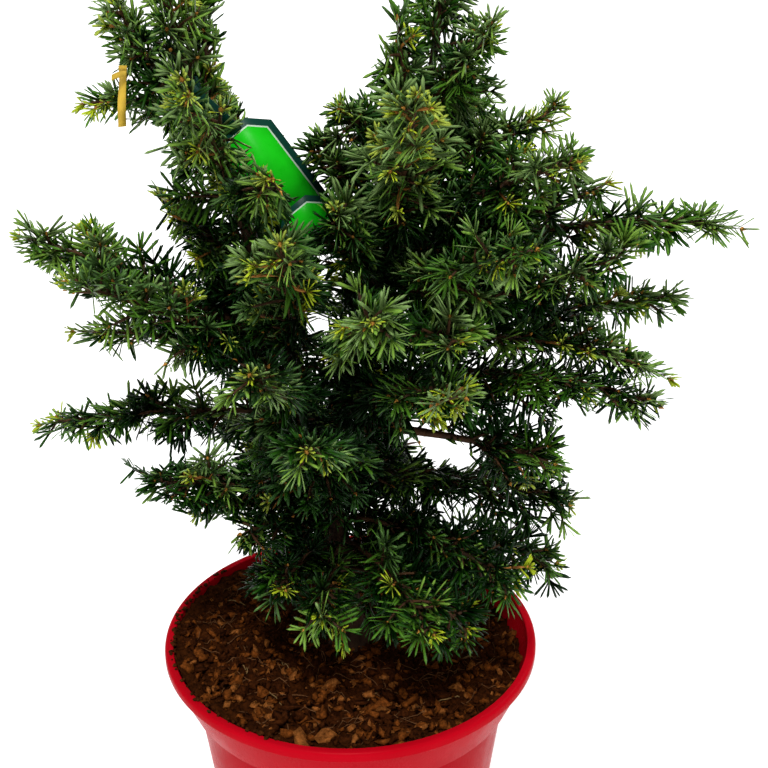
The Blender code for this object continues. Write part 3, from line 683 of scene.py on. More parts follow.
def mesh_object(name, points, faces, materials=(), numbers=None):
    """A new object from arrays of points and triangles."""
    points = np.asarray(points, dtype=np.float32)
    faces = np.asarray(faces, dtype=np.int32)
    mesh = bpy.data.meshes.new(name)
    mesh.vertices.add(len(points))
    mesh.vertices.foreach_set("co", points.ravel())
    mesh.loops.add(faces.size)
    mesh.loops.foreach_set("vertex_index", faces.ravel())
    mesh.polygons.add(len(faces))
    mesh.polygons.foreach_set("loop_start", np.arange(0, faces.size, 3, dtype=np.int32))
    for finish in materials:
        mesh.materials.append(finish)
    if numbers is not None:
        mesh.polygons.foreach_set("material_index", np.asarray(numbers, dtype=np.int32))
    mesh.update(calc_edges=True)
    made = bpy.data.objects.new(name, mesh)
    bpy.context.scene.collection.objects.link(made)
    return made


def declare(piece, nodes):
    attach(piece, "root")
    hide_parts(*nodes)
    return piece


def smooth(piece, degrees):
    piece.data.shade_smooth()
    piece.data.set_sharp_from_angle(angle=math.radians(degrees))


def circle(count):
    return [2.0 * math.pi * step / count for step in range(count)]


def level_ring(radius, height, count, x=0.0, y=0.0):
    return [(x + radius * math.cos(angle), y + radius * math.sin(angle), height)
            for angle in circle(count)]


def add_ring(points, rings, ring):
    """Adds a ring's points, and their numbers to the rings."""
    rings.append(list(range(len(points), len(points) + len(ring))))
    points += ring


def round_section(middle, across, other, radius, sides):
    """Points of a circle in the plane of two directions."""
    return [middle + radius * (across * math.cos(angle) + other * math.sin(angle))
            for angle in circle(sides)]


def bridged(rings):
    """Triangles between following rings of point numbers. A ring of one point makes a fan."""
    faces = []
    for low, high in zip(rings, rings[1:]):
        count = max(len(low), len(high))
        for step in range(count):
            after = (step + 1) % count
            corners = list(dict.fromkeys([low[step % len(low)], low[after % len(low)],
                                          high[after % len(high)], high[step % len(high)]]))
            faces.append(tuple(corners[:3]))
            if len(corners) == 4:
                faces.append((corners[0], corners[2], corners[3]))
    return faces


def fanned(ring, turned=False):
    """Triangles over a flat ring."""
    faces = [(ring[0], ring[step], ring[step + 1]) for step in range(1, len(ring) - 1)]
    return [face[::-1] for face in faces] if turned else faces


def rows_of(count, size):
    """Point numbers of following rings of equal size."""
    return [list(range(size * row, size * row + size)) for row in range(count)]


def bar(rings):
    """Triangles of a closed bar along rings of point numbers."""
    return bridged(rings) + fanned(rings[0], True) + fanned(rings[-1])


def section(middle, wide, thick, half_width, half_thickness):
    """The four corners of a flat bar's section."""
    return [tuple(middle + wide * (half_width * across) + thick * (half_thickness * over))
            for across, over in CORNERS]


def round_bar(path, radii, sides, top, pointed):
    """Points and triangles of a tapering round bar along a path, blunt or with a pointed end."""
    direction = unit(np.gradient(path, axis=0))
    across = perpendicular(np.array(top) + 0.0 * direction, direction)
    other = np.cross(direction, across)
    steps = np.linspace(0.0, 1.0, len(path))
    count = len(path) - 1 if pointed else len(path)
    points = []
    for row in range(count):
        radius = radii[0] + (radii[1] - radii[0]) * steps[row]
        points += round_section(path[row], across[row], other[row], radius, sides)
    rings = rows_of(count, sides)
    if pointed:
        rings.append([len(points)])
        points.append(path[-1])
    return points, bar(rings)


def outwards(piece):
    """Turns every face of a closed piece outwards."""
    work = bmesh.new()
    work.from_mesh(piece.data)
    bmesh.ops.recalc_face_normals(work, faces=work.faces)
    work.to_mesh(piece.data)
    work.free()


class Heap:
    """Collects closed shapes of one kind into one mesh."""

    def __init__(self):
        self.points = []
        self.faces = []
        self.count = 0

    def add(self, points, faces):
        points = np.asarray(points, dtype=float).reshape(-1, 3)
        self.points.append(points)
        self.faces.append(np.asarray(faces, dtype=int) + self.count)
        self.count += len(points)

    def piece(self, name, finish, slot, nodes, smoothing=None):
        made = mesh_object(name, np.concatenate(self.points), np.concatenate(self.faces),
                           [finish])
        outwards(made)
        if smoothing:
            smooth(made, smoothing)
        return declare(made, nodes)


# Limbs, by the source's rule

class Limb:
    """An arc in an upright plane from one point to another. It leaves steeper than its chord
    by the bend and ends flatter by the bend, and tapers evenly."""

    def __init__(self, start, end, bend, first_radius, last_radius, steps):
        chord = end - start
        level = math.hypot(chord.x, chord.y)
        self.heading = Vector((chord.x, chord.y, 0.0)) / level
        self.side = Vector((-self.heading.y, self.heading.x, 0.0))
        self.rise = math.atan2(chord.z, level)
        self.length = chord.length
        self.radii = (first_radius, last_radius)
        steady = [Vector((0.0, 0.0, 0.0))]
        for step in range(steps):
            angle = self.rise + math.radians(bend) * (1.0 - 2.0 * (step + 0.5) / steps)
            stride = self.heading * math.cos(angle) + Vector((0.0, 0.0, math.sin(angle)))
            steady.append(steady[-1] + stride)
        scale = chord.length / steady[-1].length
        self.points = [start + offset * scale for offset in steady]

    def at(self, share):
        """The point at a share of the length and the direction there."""
        place = share * (len(self.points) - 1)
        low = min(int(place), len(self.points) - 2)
        run = self.points[low + 1] - self.points[low]
        return self.points[low] + run * (place - low), run.normalized()

    def across(self, share, roll):
        """The point at a share, the direction there, and one across it by a roll in degrees."""
        root, onwards = self.at(share)
        up = onwards.cross(self.side)
        roll = math.radians(roll)
        return root, onwards, self.side * math.cos(roll) - up * math.sin(roll)

    def radius(self, share):
        return self.radii[0] + (self.radii[1] - self.radii[0]) * share

    def path(self, first, last, count):
        """Points and radii along a stretch as arrays."""
        shares = np.linspace(first, last, count)
        return (np.array([tuple(self.at(share)[0]) for share in shares]),
                np.array([self.radius(share) for share in shares]))


def lay_out_limbs():
    trunk = Limb(TRUNK_FOOT, FORK, TRUNK_BEND, TRUNK_RADIUS, FORK_RADIUS, TRUNK_STEPS)
    tip, onwards = trunk.at(1.0)
    limbs = {
        "trunk": trunk,
        "leader_left": Limb(tip + onwards * 2.0 * GAP, LEFT_LEADER_TIP, LEFT_LEADER_BEND,
                            FORK_RADIUS, LEADER_TIP_RADIUS, LEADER_STEPS),
        "leader_right": Limb(trunk.at(RIGHT_LEADER_PLACE)[0], RIGHT_LEADER_TIP,
                             RIGHT_LEADER_BEND, RIGHT_LEADER_RADIUS, LEADER_TIP_RADIUS,
                             LEADER_STEPS),
    }
    for name, branch in BRANCHES.items():
        root, onwards = limbs[branch.parent].at(branch.place)
        if branch.place == 1.0:
            root = root + onwards * GAP
        tip = Vector([part / MILLIMETRES for part in branch.tip])
        radius = BOUGH_RADIUS if branch.bare else STEM_RADIUS
        limbs[name] = Limb(root, tip, branch.bend, radius, STEM_TIP_RADIUS, BRANCH_STEPS)
    return limbs


def reaches(points, low, run):
    """Distance from each point to each straight run, and the share along it met there."""
    along = np.einsum("pij,ij->pi", points[:, None] - low, run)
    along = np.clip(along / np.einsum("ij,ij->i", run, run), 0.0, 1.0)
    return np.linalg.norm(points[:, None] - low - run * along[..., None], axis=2), along


def distances(points, path, radii=0.0):
    """Distance from each point to a path, or to the skin of a round limb along it."""
    reach, along = reaches(points, path[:-1], path[1:] - path[:-1])
    if np.ndim(radii):
        reach = reach - radii[:-1] - (radii[1:] - radii[:-1]) * along
    return reach.min(axis=1)


def stem_start(limb, branch, wood):
    """Share at which a mass's stem begins: just past its bough or its leader's tip, or just
    clear of the side of the wood."""
    if branch.bare or branch.place == 1.0:
        return branch.bare + GAP / limb.length
    share = 0.0
    while True:
        centre, direction = limb.at(share)
        up = direction.cross(limb.side)
        ring = round_section(centre, limb.side, up, limb.radii[0], STEM_SIDES)
        ring = np.array([tuple(point) for point in ring])
        if all(distances(ring, path, radii).min() >= GAP for path, radii in wood):
            return share
        share += STEM_SEARCH


class Space:
    """Where each mass may reach: nearer its own stem than any other mass's stem, and clear
    of the limbs, the tag and the pot. The fine growth also keeps the sky gaps open."""

    def __init__(self, limbs, box):
        wood = [limbs[name].path(0.0, 1.0, LEADER_POINTS) for name in STEM_AND_LEADERS]
        self.starts = {name: stem_start(limbs[name], branch, wood)
                       for name, branch in BRANCHES.items()}
        self.wood = wood + [limbs[name].path(0.0, BRANCHES[name].bare, BOUGH_POINTS)
                            for name in BOUGHS]
        self.strap = np.array([tuple(point) for point in strap_path(limbs["leader_left"])])
        self.names = list(BRANCHES)
        paths = [limbs[name].path(self.starts[name], 1.0, MASS_POINTS)[0]
                 for name in self.names]
        self.low = np.concatenate([path[:-1] for path in paths])
        self.run = np.concatenate([path[1:] - path[:-1] for path in paths])
        self.span = len(paths[0]) - 1
        self.box = box
        wide = tag_axes()[1]
        self.tag_views = [(tuple(TAG_HEAD + (TAG_TOE - TAG_HEAD) * far
                                 + wide * (TAG_WIDTH * side)), radius)
                          for far, side, radius in TAG_VIEWS]

    def stems(self, points):
        """Distance from each point to each mass's stem."""
        reach = reaches(points, self.low, self.run)[0]
        return reach.reshape(len(points), len(self.names), self.span).min(axis=2)

    def off_wood(self, points):
        """Whether all points keep clear of the limbs and of the tag's strap."""
        return (all(distances(points, *limb).min() > LIMB_MARGIN for limb in self.wood)
                and distances(points, self.strap).min() > STRAP_WIDTH / 2.0 + TAG_CLEARANCE)

    def holds(self, name, points):
        reach = self.stems(points)
        own = self.names.index(name)
        near = reach[:, own] + SPACE_MARGIN
        reach[:, own] = np.inf
        return (points[:, 2].min() > LOWEST_NEEDLE
                and bool(np.all(reach.min(axis=1) > near))
                and self.off_wood(points) and not tag_plate_near(points).any())

    def clear(self, points):
        """Whether a shoot from the wood has room: off the limbs, the tag, the pot and sky."""
        return bool(self.free(points).all()) and self.off_wood(points)

    def free(self, points):
        """Which points lie in the model's box, above the pot, off the tag and off the sky."""
        low, high = self.box
        fit = np.all(points > low, axis=1) & np.all(points < high, axis=1)
        fit &= points[:, 2] > LOWEST_NEEDLE
        fit &= ~tag_plate_near(points)
        for x, z, radius in SKY:
            place = (x / MILLIMETRES, 0.0, z / MILLIMETRES)
            fit &= ~in_sight(points, place, radius / MILLIMETRES, math.inf)
        for place, radius in self.tag_views:
            fit &= ~in_sight(points, place, radius, 1.0)
        return fit


def in_sight(points, through, radius, last):
    """Which points lie in a cone of sight from the camera through a place, up to a share of
    the distance to it."""
    eye = np.array(CAMERA_PLACE)
    line = np.array(through) - eye
    span = np.linalg.norm(line)
    line = line / span
    ahead = (points - eye) @ line
    off = np.linalg.norm(points - eye - ahead[:, None] * line, axis=1)
    return (off < radius * ahead / span) & (ahead < last * span)


def swelling(shape, share):
    start, run = shape
    return math.sin(math.pi * (start + run * share))


def upper(wide, along):
    """The upper one of the two directions across a blade."""
    thick = wide.cross(along).normalized()
    return -thick if thick.z < 0.0 else thick


def spray_samples(root, along, wide, length):
    """Points that the source tests for a blade: its corners and the middles between rows."""
    thick = upper(wide, along)
    widest = SPRAY_ASPECT * length
    teeth = SPRAY_TEETH[length > LONG_SPRAY]
    stations = [(0.0, STALK_HALF_WIDTH)]
    for tooth in range(teeth):
        notch = (tooth + NOTCH_PLACE) / (teeth + END_RUN)
        point = (tooth + POINT_PLACE) / (teeth + END_RUN)
        swell = swelling(SPRAY_SWELL, notch)
        stations.append((notch, NOTCH_SHARE * widest * swell if tooth else STALK_HALF_WIDTH))
        stations.append((point, widest * swell))
    stations.append((1.0, TIP_HALF_WIDTH))
    rows = []
    for share, half in stations:
        middle = root + along * (length * share) - thick * (SPRAY_DROOP * length * share ** 2)
        rows.append(section(middle, wide, thick, half, SPRAY_THICKNESS / 2.0))
    corners = np.array(rows)
    middles = (corners[1:] + corners[:-1]) / 2.0
    return np.concatenate([corners[1:].reshape(-1, 3), middles[1:].reshape(-1, 3)])


def leaned(onwards, out, lean, twist):
    """Direction and width direction of a shoot that leaves its limb at a lean."""
    flat = onwards.cross(out).normalized()
    along = onwards * math.cos(lean) + out * math.sin(lean)
    return along, flat.cross(along) * math.cos(twist) + flat * math.sin(twist)


def sprays_of(name, limb, space):
    """Root, direction, width direction and length of each of the source's side sprays."""
    rng = random.Random(name)
    first = space.starts[name]
    longest = BRANCHES[name].spray / MILLIMETRES
    stretch = 1.0 - first
    upright = math.degrees(limb.rise) > UPRIGHT_RISE
    shoots = max(2, round(limb.length * stretch * TIP_SPRAY_SHARE / SPRAY_SPACING))
    chosen = []
    for index in range(shoots):
        part = (index + FIRST_SHOOT) / shoots * TIP_SPRAY_SHARE
        roll = UPRIGHT_ROLL * index if upright else SPRAY_ROLLS[index % len(SPRAY_ROLLS)]
        roll += rng.uniform(-ROLL_JITTER, ROLL_JITTER)
        root, onwards, out = limb.across(first + stretch * part, roll)
        reach = longest * (1.0 - SPRAY_SHORTENING * part) * rng.uniform(*SPRAY_VARIATION)
        twist = math.radians(rng.uniform(-SPRAY_TWIST, SPRAY_TWIST))
        for size, angle in itertools.product(SPRAY_LENGTHS, SPRAY_ANGLES):
            along, wide = leaned(onwards, out, math.radians(angle), twist)
            if space.holds(name, spray_samples(root, along, wide, reach * size)):
                chosen.append((root, along, wide, reach * size))
                break
    return chosen


def shoot_samples(root, along, wide, length):
    """Points that a finer shoot is tested at: its axis and the reach of its needles."""
    points = [root + along * (length * share) for share in (*SAMPLE_SHARES, 1.0)]
    half = min(SAMPLE_WIDTHS[0] * length, SAMPLE_WIDTHS[1])
    points += [root + along * (length * share) + wide * (half * hand)
               for share in SAMPLE_SHARES for hand in (-1.0, 1.0)]
    return np.array([tuple(point) for point in points])


def tried_shoot(root, onwards, out, lean, twist, reach, fits):
    """The longest of the shoots in one direction that fits, or none."""
    along, wide = leaned(onwards, out, lean, twist)
    for size in BETWEEN_SIZES:
        length = reach * size
        if length < LEAST_SHOOT:
            return None
        if fits(shoot_samples(root, along, wide, length)):
            return root, along, wide, length
    return None


def between_sprays(name, limb, space):
    """Shoots that fill in between the source's sprays, on the same stem and in its space."""
    rng = random.Random(name + " between")
    bare = BRANCHES[name].bare
    first = bare * BOUGH_BARE if bare else space.starts[name]
    longest = BRANCHES[name].spray / MILLIMETRES
    stretch = 1.0 - first
    upright = math.degrees(limb.rise) > UPRIGHT_RISE
    in_front = BRANCHES[name].tip[1] / MILLIMETRES < FRONT_LINE
    spacing = FRONT_SPACING if in_front else BETWEEN_SPACING
    shoots = round(limb.length * stretch / spacing)
    chosen = []
    for index in range(shoots):
        part = (index + rng.random()) / shoots * BETWEEN_LAST
        roll = UPRIGHT_ROLL * index
        if not upright and rng.random() < BETWEEN_FLAT_SHARE:
            roll = 180.0 * (index % 2) + rng.gauss(0.0, BETWEEN_ROLL)
        root, onwards, out = limb.across(first + stretch * part, roll)
        reach = longest * (1.0 - BETWEEN_SHORTENING * part) * rng.uniform(*BETWEEN_LENGTHS)
        lean = math.radians(rng.uniform(*BETWEEN_ANGLES))
        twist = math.radians(rng.uniform(-SPRAY_TWIST, SPRAY_TWIST))
        found = tried_shoot(root, onwards, out, lean, twist, reach,
                            lambda points: space.holds(name, points)
                            and bool(space.free(points).all()))
        if found:
            chosen.append(found)
    return chosen


def wood_sprays(name, limb, space):
    """Short shoots straight from the trunk, a leader or a bough, above the clear foot."""
    rng = random.Random(name + " wood")
    span = BRANCHES[name].bare if name in BRANCHES else 1.0
    spacing, lengths = WOOD_SPACING, WOOD_LENGTHS
    if name == "trunk":
        spacing, lengths = TRUNK_SHOOT_SPACING, TRUNK_SHOOT_LENGTHS
    shoots = round(limb.length * span / spacing)
    chosen = []
    for index in range(shoots):
        place = span * (index + rng.random()) / shoots
        roll = UPRIGHT_ROLL * index + rng.uniform(-WOOD_ROLL_JITTER, WOOD_ROLL_JITTER)
        root, onwards, out = limb.across(place, roll)
        lean = math.radians(rng.uniform(*WOOD_ANGLES))
        twist = math.radians(rng.uniform(-SPRAY_TWIST, SPRAY_TWIST))
        reach = rng.uniform(*lengths)
        if root.z > LOWEST_WOOD_SHOOT:
            found = tried_shoot(root, onwards, out, lean, twist, reach, space.clear)
            if found:
                chosen.append(found)
    return chosen


# Shoots, twiglets and needles

def along_path(path, places):
    """Points and unit directions at lengths along a path."""
    runs = np.linalg.norm(np.diff(path, axis=0), axis=1)
    lengths = np.concatenate([[0.0], np.cumsum(runs)])
    points = np.stack([np.interp(places, lengths, path[:, axis]) for axis in range(3)], axis=1)
    low = np.clip(np.searchsorted(lengths, places, side="right") - 1, 0, len(runs) - 1)
    return points, (path[1:] - path[:-1])[low] / runs[low][:, None]


def run_of(path):
    return float(np.linalg.norm(np.diff(path, axis=0), axis=1).sum())


def unit(vectors):
    return vectors / np.linalg.norm(vectors, axis=-1, keepdims=True)


def perpendicular(vectors, to):
    return unit(vectors - to * np.einsum("...i,...i->...", vectors, to)[..., None])


class Growth:
    """Collects needles by tint, twigs by age, and buds."""

    def __init__(self, space):
        self.space = space
        self.needles = {tint: [] for tint in TINTS}
        self.twigs = {"old": Heap(), "young": Heap()}
        self.buds = Heap()

    def kept(self, path):
        """A path up to where it leaves its room, or none where that comes too soon."""
        fit = self.space.free(path)
        count = len(path) if fit.all() else int(np.argmin(fit))
        if count < LEAST_POINTS:
            return None
        places = np.linspace(0.0, count - 1.0, len(path))
        return np.stack([np.interp(places, np.arange(count), path[:count, axis])
                         for axis in range(3)], axis=1)

    def twig(self, kind, path, radii, sides):
        """A tapering twig that ends in a point."""
        self.twigs[kind].add(*round_bar(path, radii, sides, TWIG_TOP, True))

    def bud(self, path, size):
        """A small pointed oval at a twig's end."""
        place, direction = path[-1], unit(path[-1] - path[-2])
        across = perpendicular(np.array(BUD_TOP), direction)
        other = np.cross(direction, across)
        ring = round_section(place, across, other, size, BUD_SIDES)
        points = [place - direction * size, *ring, place + direction * size * BUD_LENGTH]
        rings = [[0], list(range(1, BUD_SIDES + 1)), [BUD_SIDES + 1]]
        self.buds.add(points, bridged(rings))

    def clothe(self, tint, path, top, first, size, rng, fresh=False, ends=END_NEEDLES):
        """Needles along a path, in two ranks with a few on top, and a rosette at its end."""
        total = run_of(path)
        places = np.arange(first, total, NEEDLE_STEP)
        shift = rng.uniform(-NEEDLE_JITTER, NEEDLE_JITTER, len(places))
        places = places + shift * NEEDLE_STEP
        count = len(places)
        if count:
            points, ahead = along_path(path, np.clip(places, 0.0, total))
            normal = perpendicular(np.array(top) + 0.0 * ahead, ahead)
            side = np.cross(ahead, normal)
            share = places / total
            rank = rng.random(count)
            topmost = rank < TOP_NEEDLES
            lowest = rank > 1.0 - LOWER_NEEDLES
            hand = np.where(np.arange(count) % 2 == 0, 1.0, -1.0)
            lift = np.where(topmost, rng.uniform(*TOP_LIFTS, count),
                            rng.normal(*FLAT_LIFT, count))
            lift = np.where(lowest, rng.uniform(*LOWER_LIFTS, count), lift)
            lean = NEEDLE_ANGLES[0] + (NEEDLE_ANGLES[1] - NEEDLE_ANGLES[0]) * share
            lean = np.where(topmost, lean * TOP_SIZE, lean) + rng.normal(0.0, LEAN_SPREAD, count)
            lift, lean = np.radians(lift), np.radians(lean)
            out = side * (hand * np.cos(lift))[:, None] + normal * np.sin(lift)[:, None]
            direction = ahead * np.cos(lean)[:, None] + out * np.sin(lean)[:, None]
            turn = np.radians(rng.normal(0.0, TURN_SPREAD, count))[:, None]
            face = perpendicular(normal - ahead * np.where(topmost, 0.6, 0.0)[:, None], direction)
            face = face * np.cos(turn) + np.cross(direction, face) * np.sin(turn)
            part = np.clip(NEEDLE_SWELL_RUN[0] + NEEDLE_SWELL_RUN[1] * share, 0.0, 1.0)
            swell = NEEDLE_SWELL[0] + NEEDLE_SWELL[1] * np.sin(np.pi * part)
            length = size * swell * rng.uniform(*LENGTH_SPREAD, count)
            length = np.where(topmost, length * TOP_SIZE, length)
            young = (total - places < FRESH_REACH) if fresh else np.zeros(count, bool)
            length = np.where(young, length * FRESH_SIZE, length)
            for chosen, kind in ((~young, tint), (young, "fresh")):
                if chosen.any():
                    self.needles[kind].append((points[chosen], direction[chosen], face[chosen],
                                               length[chosen]))
        self.rosette("fresh" if fresh else tint, path, top, size, rng, ends)

    def rosette(self, tint, path, top, size, rng, count):
        """A tuft of needles round a twig's end."""
        end = path[-1]
        ahead = unit(path[-1] - path[-2])
        normal = perpendicular(np.array(top), ahead)
        side = np.cross(ahead, normal)
        around = np.radians(np.arange(count) * 360.0 / count + rng.uniform(0.0, 60.0))
        lean = np.radians(rng.uniform(*ROSETTE_LEANS, count))
        out = unit(side * np.cos(around)[:, None]
                   + normal * (ROSETTE_FLATNESS * np.sin(around))[:, None])
        direction = unit(ahead * np.cos(lean)[:, None] + out * np.sin(lean)[:, None])
        outer, back = ROSETTE_FACING
        face = perpendicular(normal + outer * out - back * ahead, direction)
        length = size * rng.uniform(*ROSETTE_LENGTHS, count)
        length = length * (FRESH_SIZE if tint == "fresh" else 1.0)
        base = end - ahead * rng.uniform(0.0, ROSETTE_DEPTH, count)[:, None]
        self.needles[tint].append((base, direction, face, length))

    def shoot(self, root, along, wide, length, tint, rng, fresh):
        """A side shoot with its twiglets, inside the outline of the source's blade."""
        size = rng.uniform(*NEEDLE_LENGTHS)
        thick = upper(wide, along)
        root, along, wide, thick = (np.array(each) for each in (root, along, wide, thick))
        reach = max(length - SHOOT_RUN[0] * size, SHOOT_RUN[1] * length)
        shares = np.linspace(0.0, 1.0, 6)[:, None]
        sway = wide * (rng.uniform(-SHOOT_SWAY, SHOOT_SWAY) * reach)
        path = (root + along * (reach * shares) - thick * (SPRAY_DROOP * reach * shares ** 2)
                + sway * np.sin(np.pi * shares))
        path = self.kept(path)
        if path is None:
            return
        reach = run_of(path)
        age = "young" if fresh else "old"
        self.twig(age, path, SHOOT_RADII, 4)
        self.clothe(tint, path, thick, SHOOT_FIRST_NEEDLE * reach, size, rng, fresh)
        if rng.random() < BUD_SHARE:
            self.bud(path, BUD_RADIUS)
        count = int(TWIGLET_SHARE * reach / TWIGLET_SPACING)
        low, span = TWIGLET_SPAN
        for index in range(count):
            share = low + span * (index + rng.uniform(*TWIGLET_JITTER)) / count
            hand = 1.0 if (index + int(length * 1e4)) % 2 else -1.0
            outline = SPRAY_ASPECT * length * swelling(SPRAY_SWELL, share)
            room = (outline - TWIGLET_ROOM * size) / math.sin(math.radians(TWIGLET_ANGLE))
            room = min(room * TWIGLET_STRETCH, (1.0 - share) * length)
            room = room * rng.uniform(*TWIGLET_SIZES)
            if room < TWIGLET_LEAST:
                continue
            start, ahead = along_path(path, np.array([share * reach]))
            spread = rng.uniform(-TWIGLET_ANGLE_SPREAD, TWIGLET_ANGLE_SPREAD)
            lean = math.radians(TWIGLET_ANGLE + spread)
            tilt = math.radians(rng.uniform(*TWIGLET_TILTS))
            out = wide * (hand * math.cos(tilt)) + thick * math.sin(tilt)
            towards = ahead[0] * math.cos(lean) + out * math.sin(lean)
            steps = np.linspace(0.0, 1.0, 4)[:, None]
            twiglet = (start[0] + towards * (room * steps)
                       + ahead[0] * (TWIGLET_BEND * room * steps ** 2)
                       - thick * (TWIGLET_DROOP * room * steps ** 2))
            twiglet = self.kept(twiglet)
            if twiglet is None:
                continue
            self.twig(age, twiglet, TWIGLET_RADII, 3)
            self.clothe(tint, twiglet, thick, TWIGLET_FIRST_NEEDLE,
                        size * TWIGLET_NEEDLE_SIZE, rng,
                        fresh and rng.random() < FRESH_TWIGLETS, TWIGLET_END_NEEDLES)

    def stem(self, limb, first, tint, rng, fresh):
        """A mass's own stem, with needles on its outer part."""
        size = rng.uniform(*NEEDLE_LENGTHS)
        span = limb.length * (1.0 - first)
        last = 1.0 - 0.5 * size / limb.length
        path = limb.path(first, last, STEM_POINTS)[0]
        self.twig("old", path, (limb.radius(first), STEM_END_RADIUS), 6)
        top = np.array(limb.at(0.8)[1].cross(limb.side))
        self.clothe(tint, path, top, STEM_FIRST_NEEDLE * span, size, rng, fresh)
        self.bud(path, STEM_BUD_RADIUS)

    def needle_pieces(self, nodes):
        for tint, batches in self.needles.items():
            base, direction, face, length = (np.concatenate(part) for part in zip(*batches))
            tips = base + direction * length[:, None]
            fit = self.space.free(base) & self.space.free(tips)
            base, direction, face, length = base[fit], direction[fit], face[fit], length[fit]
            finishes = [needle_material("needle_" + tint, TINTS[tint].top),
                        needle_material("needle_under_" + tint, TINTS[tint].under)]
            points, faces, numbers = needle_mesh(base, direction, face, length)
            declare(mesh_object("foliage_" + tint, points, faces, finishes, numbers),
                    nodes)


def needle_mesh(base, direction, face, length):
    """Needles with a flat underside and a low ridge above: a two-point root, a three-point
    shoulder and a tip."""
    count = len(length)
    side = np.cross(direction, face)
    half = NEEDLE_WIDTH / 2.0 * np.clip(length / NEEDLE_FULL_WIDTH, *NEEDLE_WIDTH_RANGE)
    root = side * (half * NEEDLE_ROOT)[:, None]
    shoulder = (base + direction * (length * NEEDLE_SHOULDER)[:, None]
                - face * (length * NEEDLE_DROOP * NEEDLE_SHOULDER ** 2)[:, None])
    spread = side * half[:, None]
    tip = base + direction * length[:, None] - face * (length * NEEDLE_DROOP)[:, None]
    corners = [base - root, base + root, shoulder - spread, shoulder + spread,
               shoulder + face * NEEDLE_RIDGE, tip]
    points = np.stack(corners, axis=1).reshape(-1, 3)
    pattern = np.array([(0, 1, 4), (0, 4, 2), (1, 3, 4), (2, 4, 5), (4, 3, 5),
                        (0, 2, 3), (0, 3, 1), (2, 5, 3)])
    faces = (pattern[None] + 6 * np.arange(count)[:, None, None]).reshape(-1, 3)
    numbers = np.tile([0, 0, 0, 0, 0, 1, 1, 1], count)
    return points, faces, numbers


def pick_tint(rng, outer):
    """A tint for a spray, as painted light and shade: outer sprays get lighter tints and inner
    ones darker tints.
    """
    names = [name for name, tint in TINTS.items() if tint.share]
    weights = np.array([TINTS[name].share for name in names])
    lean = np.linspace(-1.0, 1.0, len(names)) * (outer - 0.5)
    weights = weights * np.exp(TINT_LEAN * lean)
    return names[int(rng.choice(len(names), p=weights / weights.sum()))]


def openness(places):
    """From 0 for the places in the crowded inside to 1 for those that stand out, by rank."""
    tree = KDTree(len(places))
    for number, place in enumerate(places):
        tree.insert(place, number)
    tree.balance()
    counts = np.array([len(tree.find_range(place, CROWD_REACH)) for place in places])
    return 1.0 - counts.argsort(kind="stable").argsort(kind="stable") / len(places)


def grow_foliage(limbs, space):
    growth = Growth(space)
    for number, name in enumerate(BRANCHES):
        rng = np.random.default_rng(STEM_SEED + number)
        fresh = rng.random() < FRESH_STEMS
        growth.stem(limbs[name], space.starts[name], pick_tint(rng, STEM_PAINTED_LIGHT), rng, fresh)
    shoots = []
    shifts = []
    for name in BRANCHES:
        shoots += sprays_of(name, limbs[name], space) + between_sprays(name, limbs[name], space)
        shifts += [MASS_PAINTED_LIGHT.get(name, 0.0)] * (len(shoots) - len(shifts))
    for name in [*STEM_AND_LEADERS, *BOUGHS]:
        shoots += wood_sprays(name, limbs[name], space)
    shifts += [0.0] * (len(shoots) - len(shifts))
    ends = [root + along * (SHOOT_MIDDLE * length) for root, along, _, length in shoots]
    rng = np.random.default_rng(SHOOT_SEED)
    few, many = FRESH_SHARES
    low, high = LIGHT_HEIGHTS
    shares = openness(ends)
    for (root, along, wide, length), end, share, shift in zip(shoots, ends, shares, shifts):
        # Painted light and shade: how light a tint the spray is dealt, from its openness and
        # height, darker near the heart as painted shade, plus its mass's shift
        height = (end.z - low) / (high - low)
        depth = max(0.0, 1.0 - (end - HEART).length / HEART_REACH)
        light = min(1.0, OPEN_WEIGHT * share + HEIGHT_WEIGHT * height
                    - PAINTED_LIGHT_LOSS - HEART_PAINTED_SHADE * depth + shift)
        fewer = FRESH_LOW + (1.0 - FRESH_LOW) * min(1.0, max(0.0, height))
        fresh = rng.random() < (few + (many - few) * share ** 2) * fewer
        growth.shoot(root, along, wide, length, pick_tint(rng, light), rng, fresh)
    return growth


# Bark

def bark_tube(heap, limb, bark, seed, radii, last=1.0, lobed=False):
    """A limb with relief: long ridges broken into flakes."""
    sides, steps, relief = bark
    points = []
    shift = Vector([seed * part for part in BARK_SHIFT])
    for step in range(steps + 1):
        part = step / steps
        centre, direction = limb.at(last * part)
        up = direction.cross(limb.side)
        if lobed and step == 0:
            up = -limb.heading
        radius = radii[0] + (radii[1] - radii[0]) * part
        run = limb.length * last * part
        for angle in circle(sides):
            reach = radius
            if lobed:
                fade = math.exp((limb.points[0].z - centre.z) / FLARE_HEIGHT)
                lobe = 1.0 + FLARE_LOBE_SHARE * math.cos(FLARE_LOBES * angle)
                reach += FLARE_RADIUS * fade * lobe
            place = Vector((math.cos(angle) * radius * FLAKES_AROUND,
                            math.sin(angle) * radius * FLAKES_AROUND,
                            run * FLAKES_ALONG)) + shift
            flake = noise.noise(place) + 0.5 * noise.noise(place * FINE_FLAKES)
            reach += relief * flake
            points.append(centre + (limb.side * math.cos(angle) + up * math.sin(angle)) * reach)
    heap.add([tuple(point) for point in points], bar(rows_of(steps + 1, sides)))


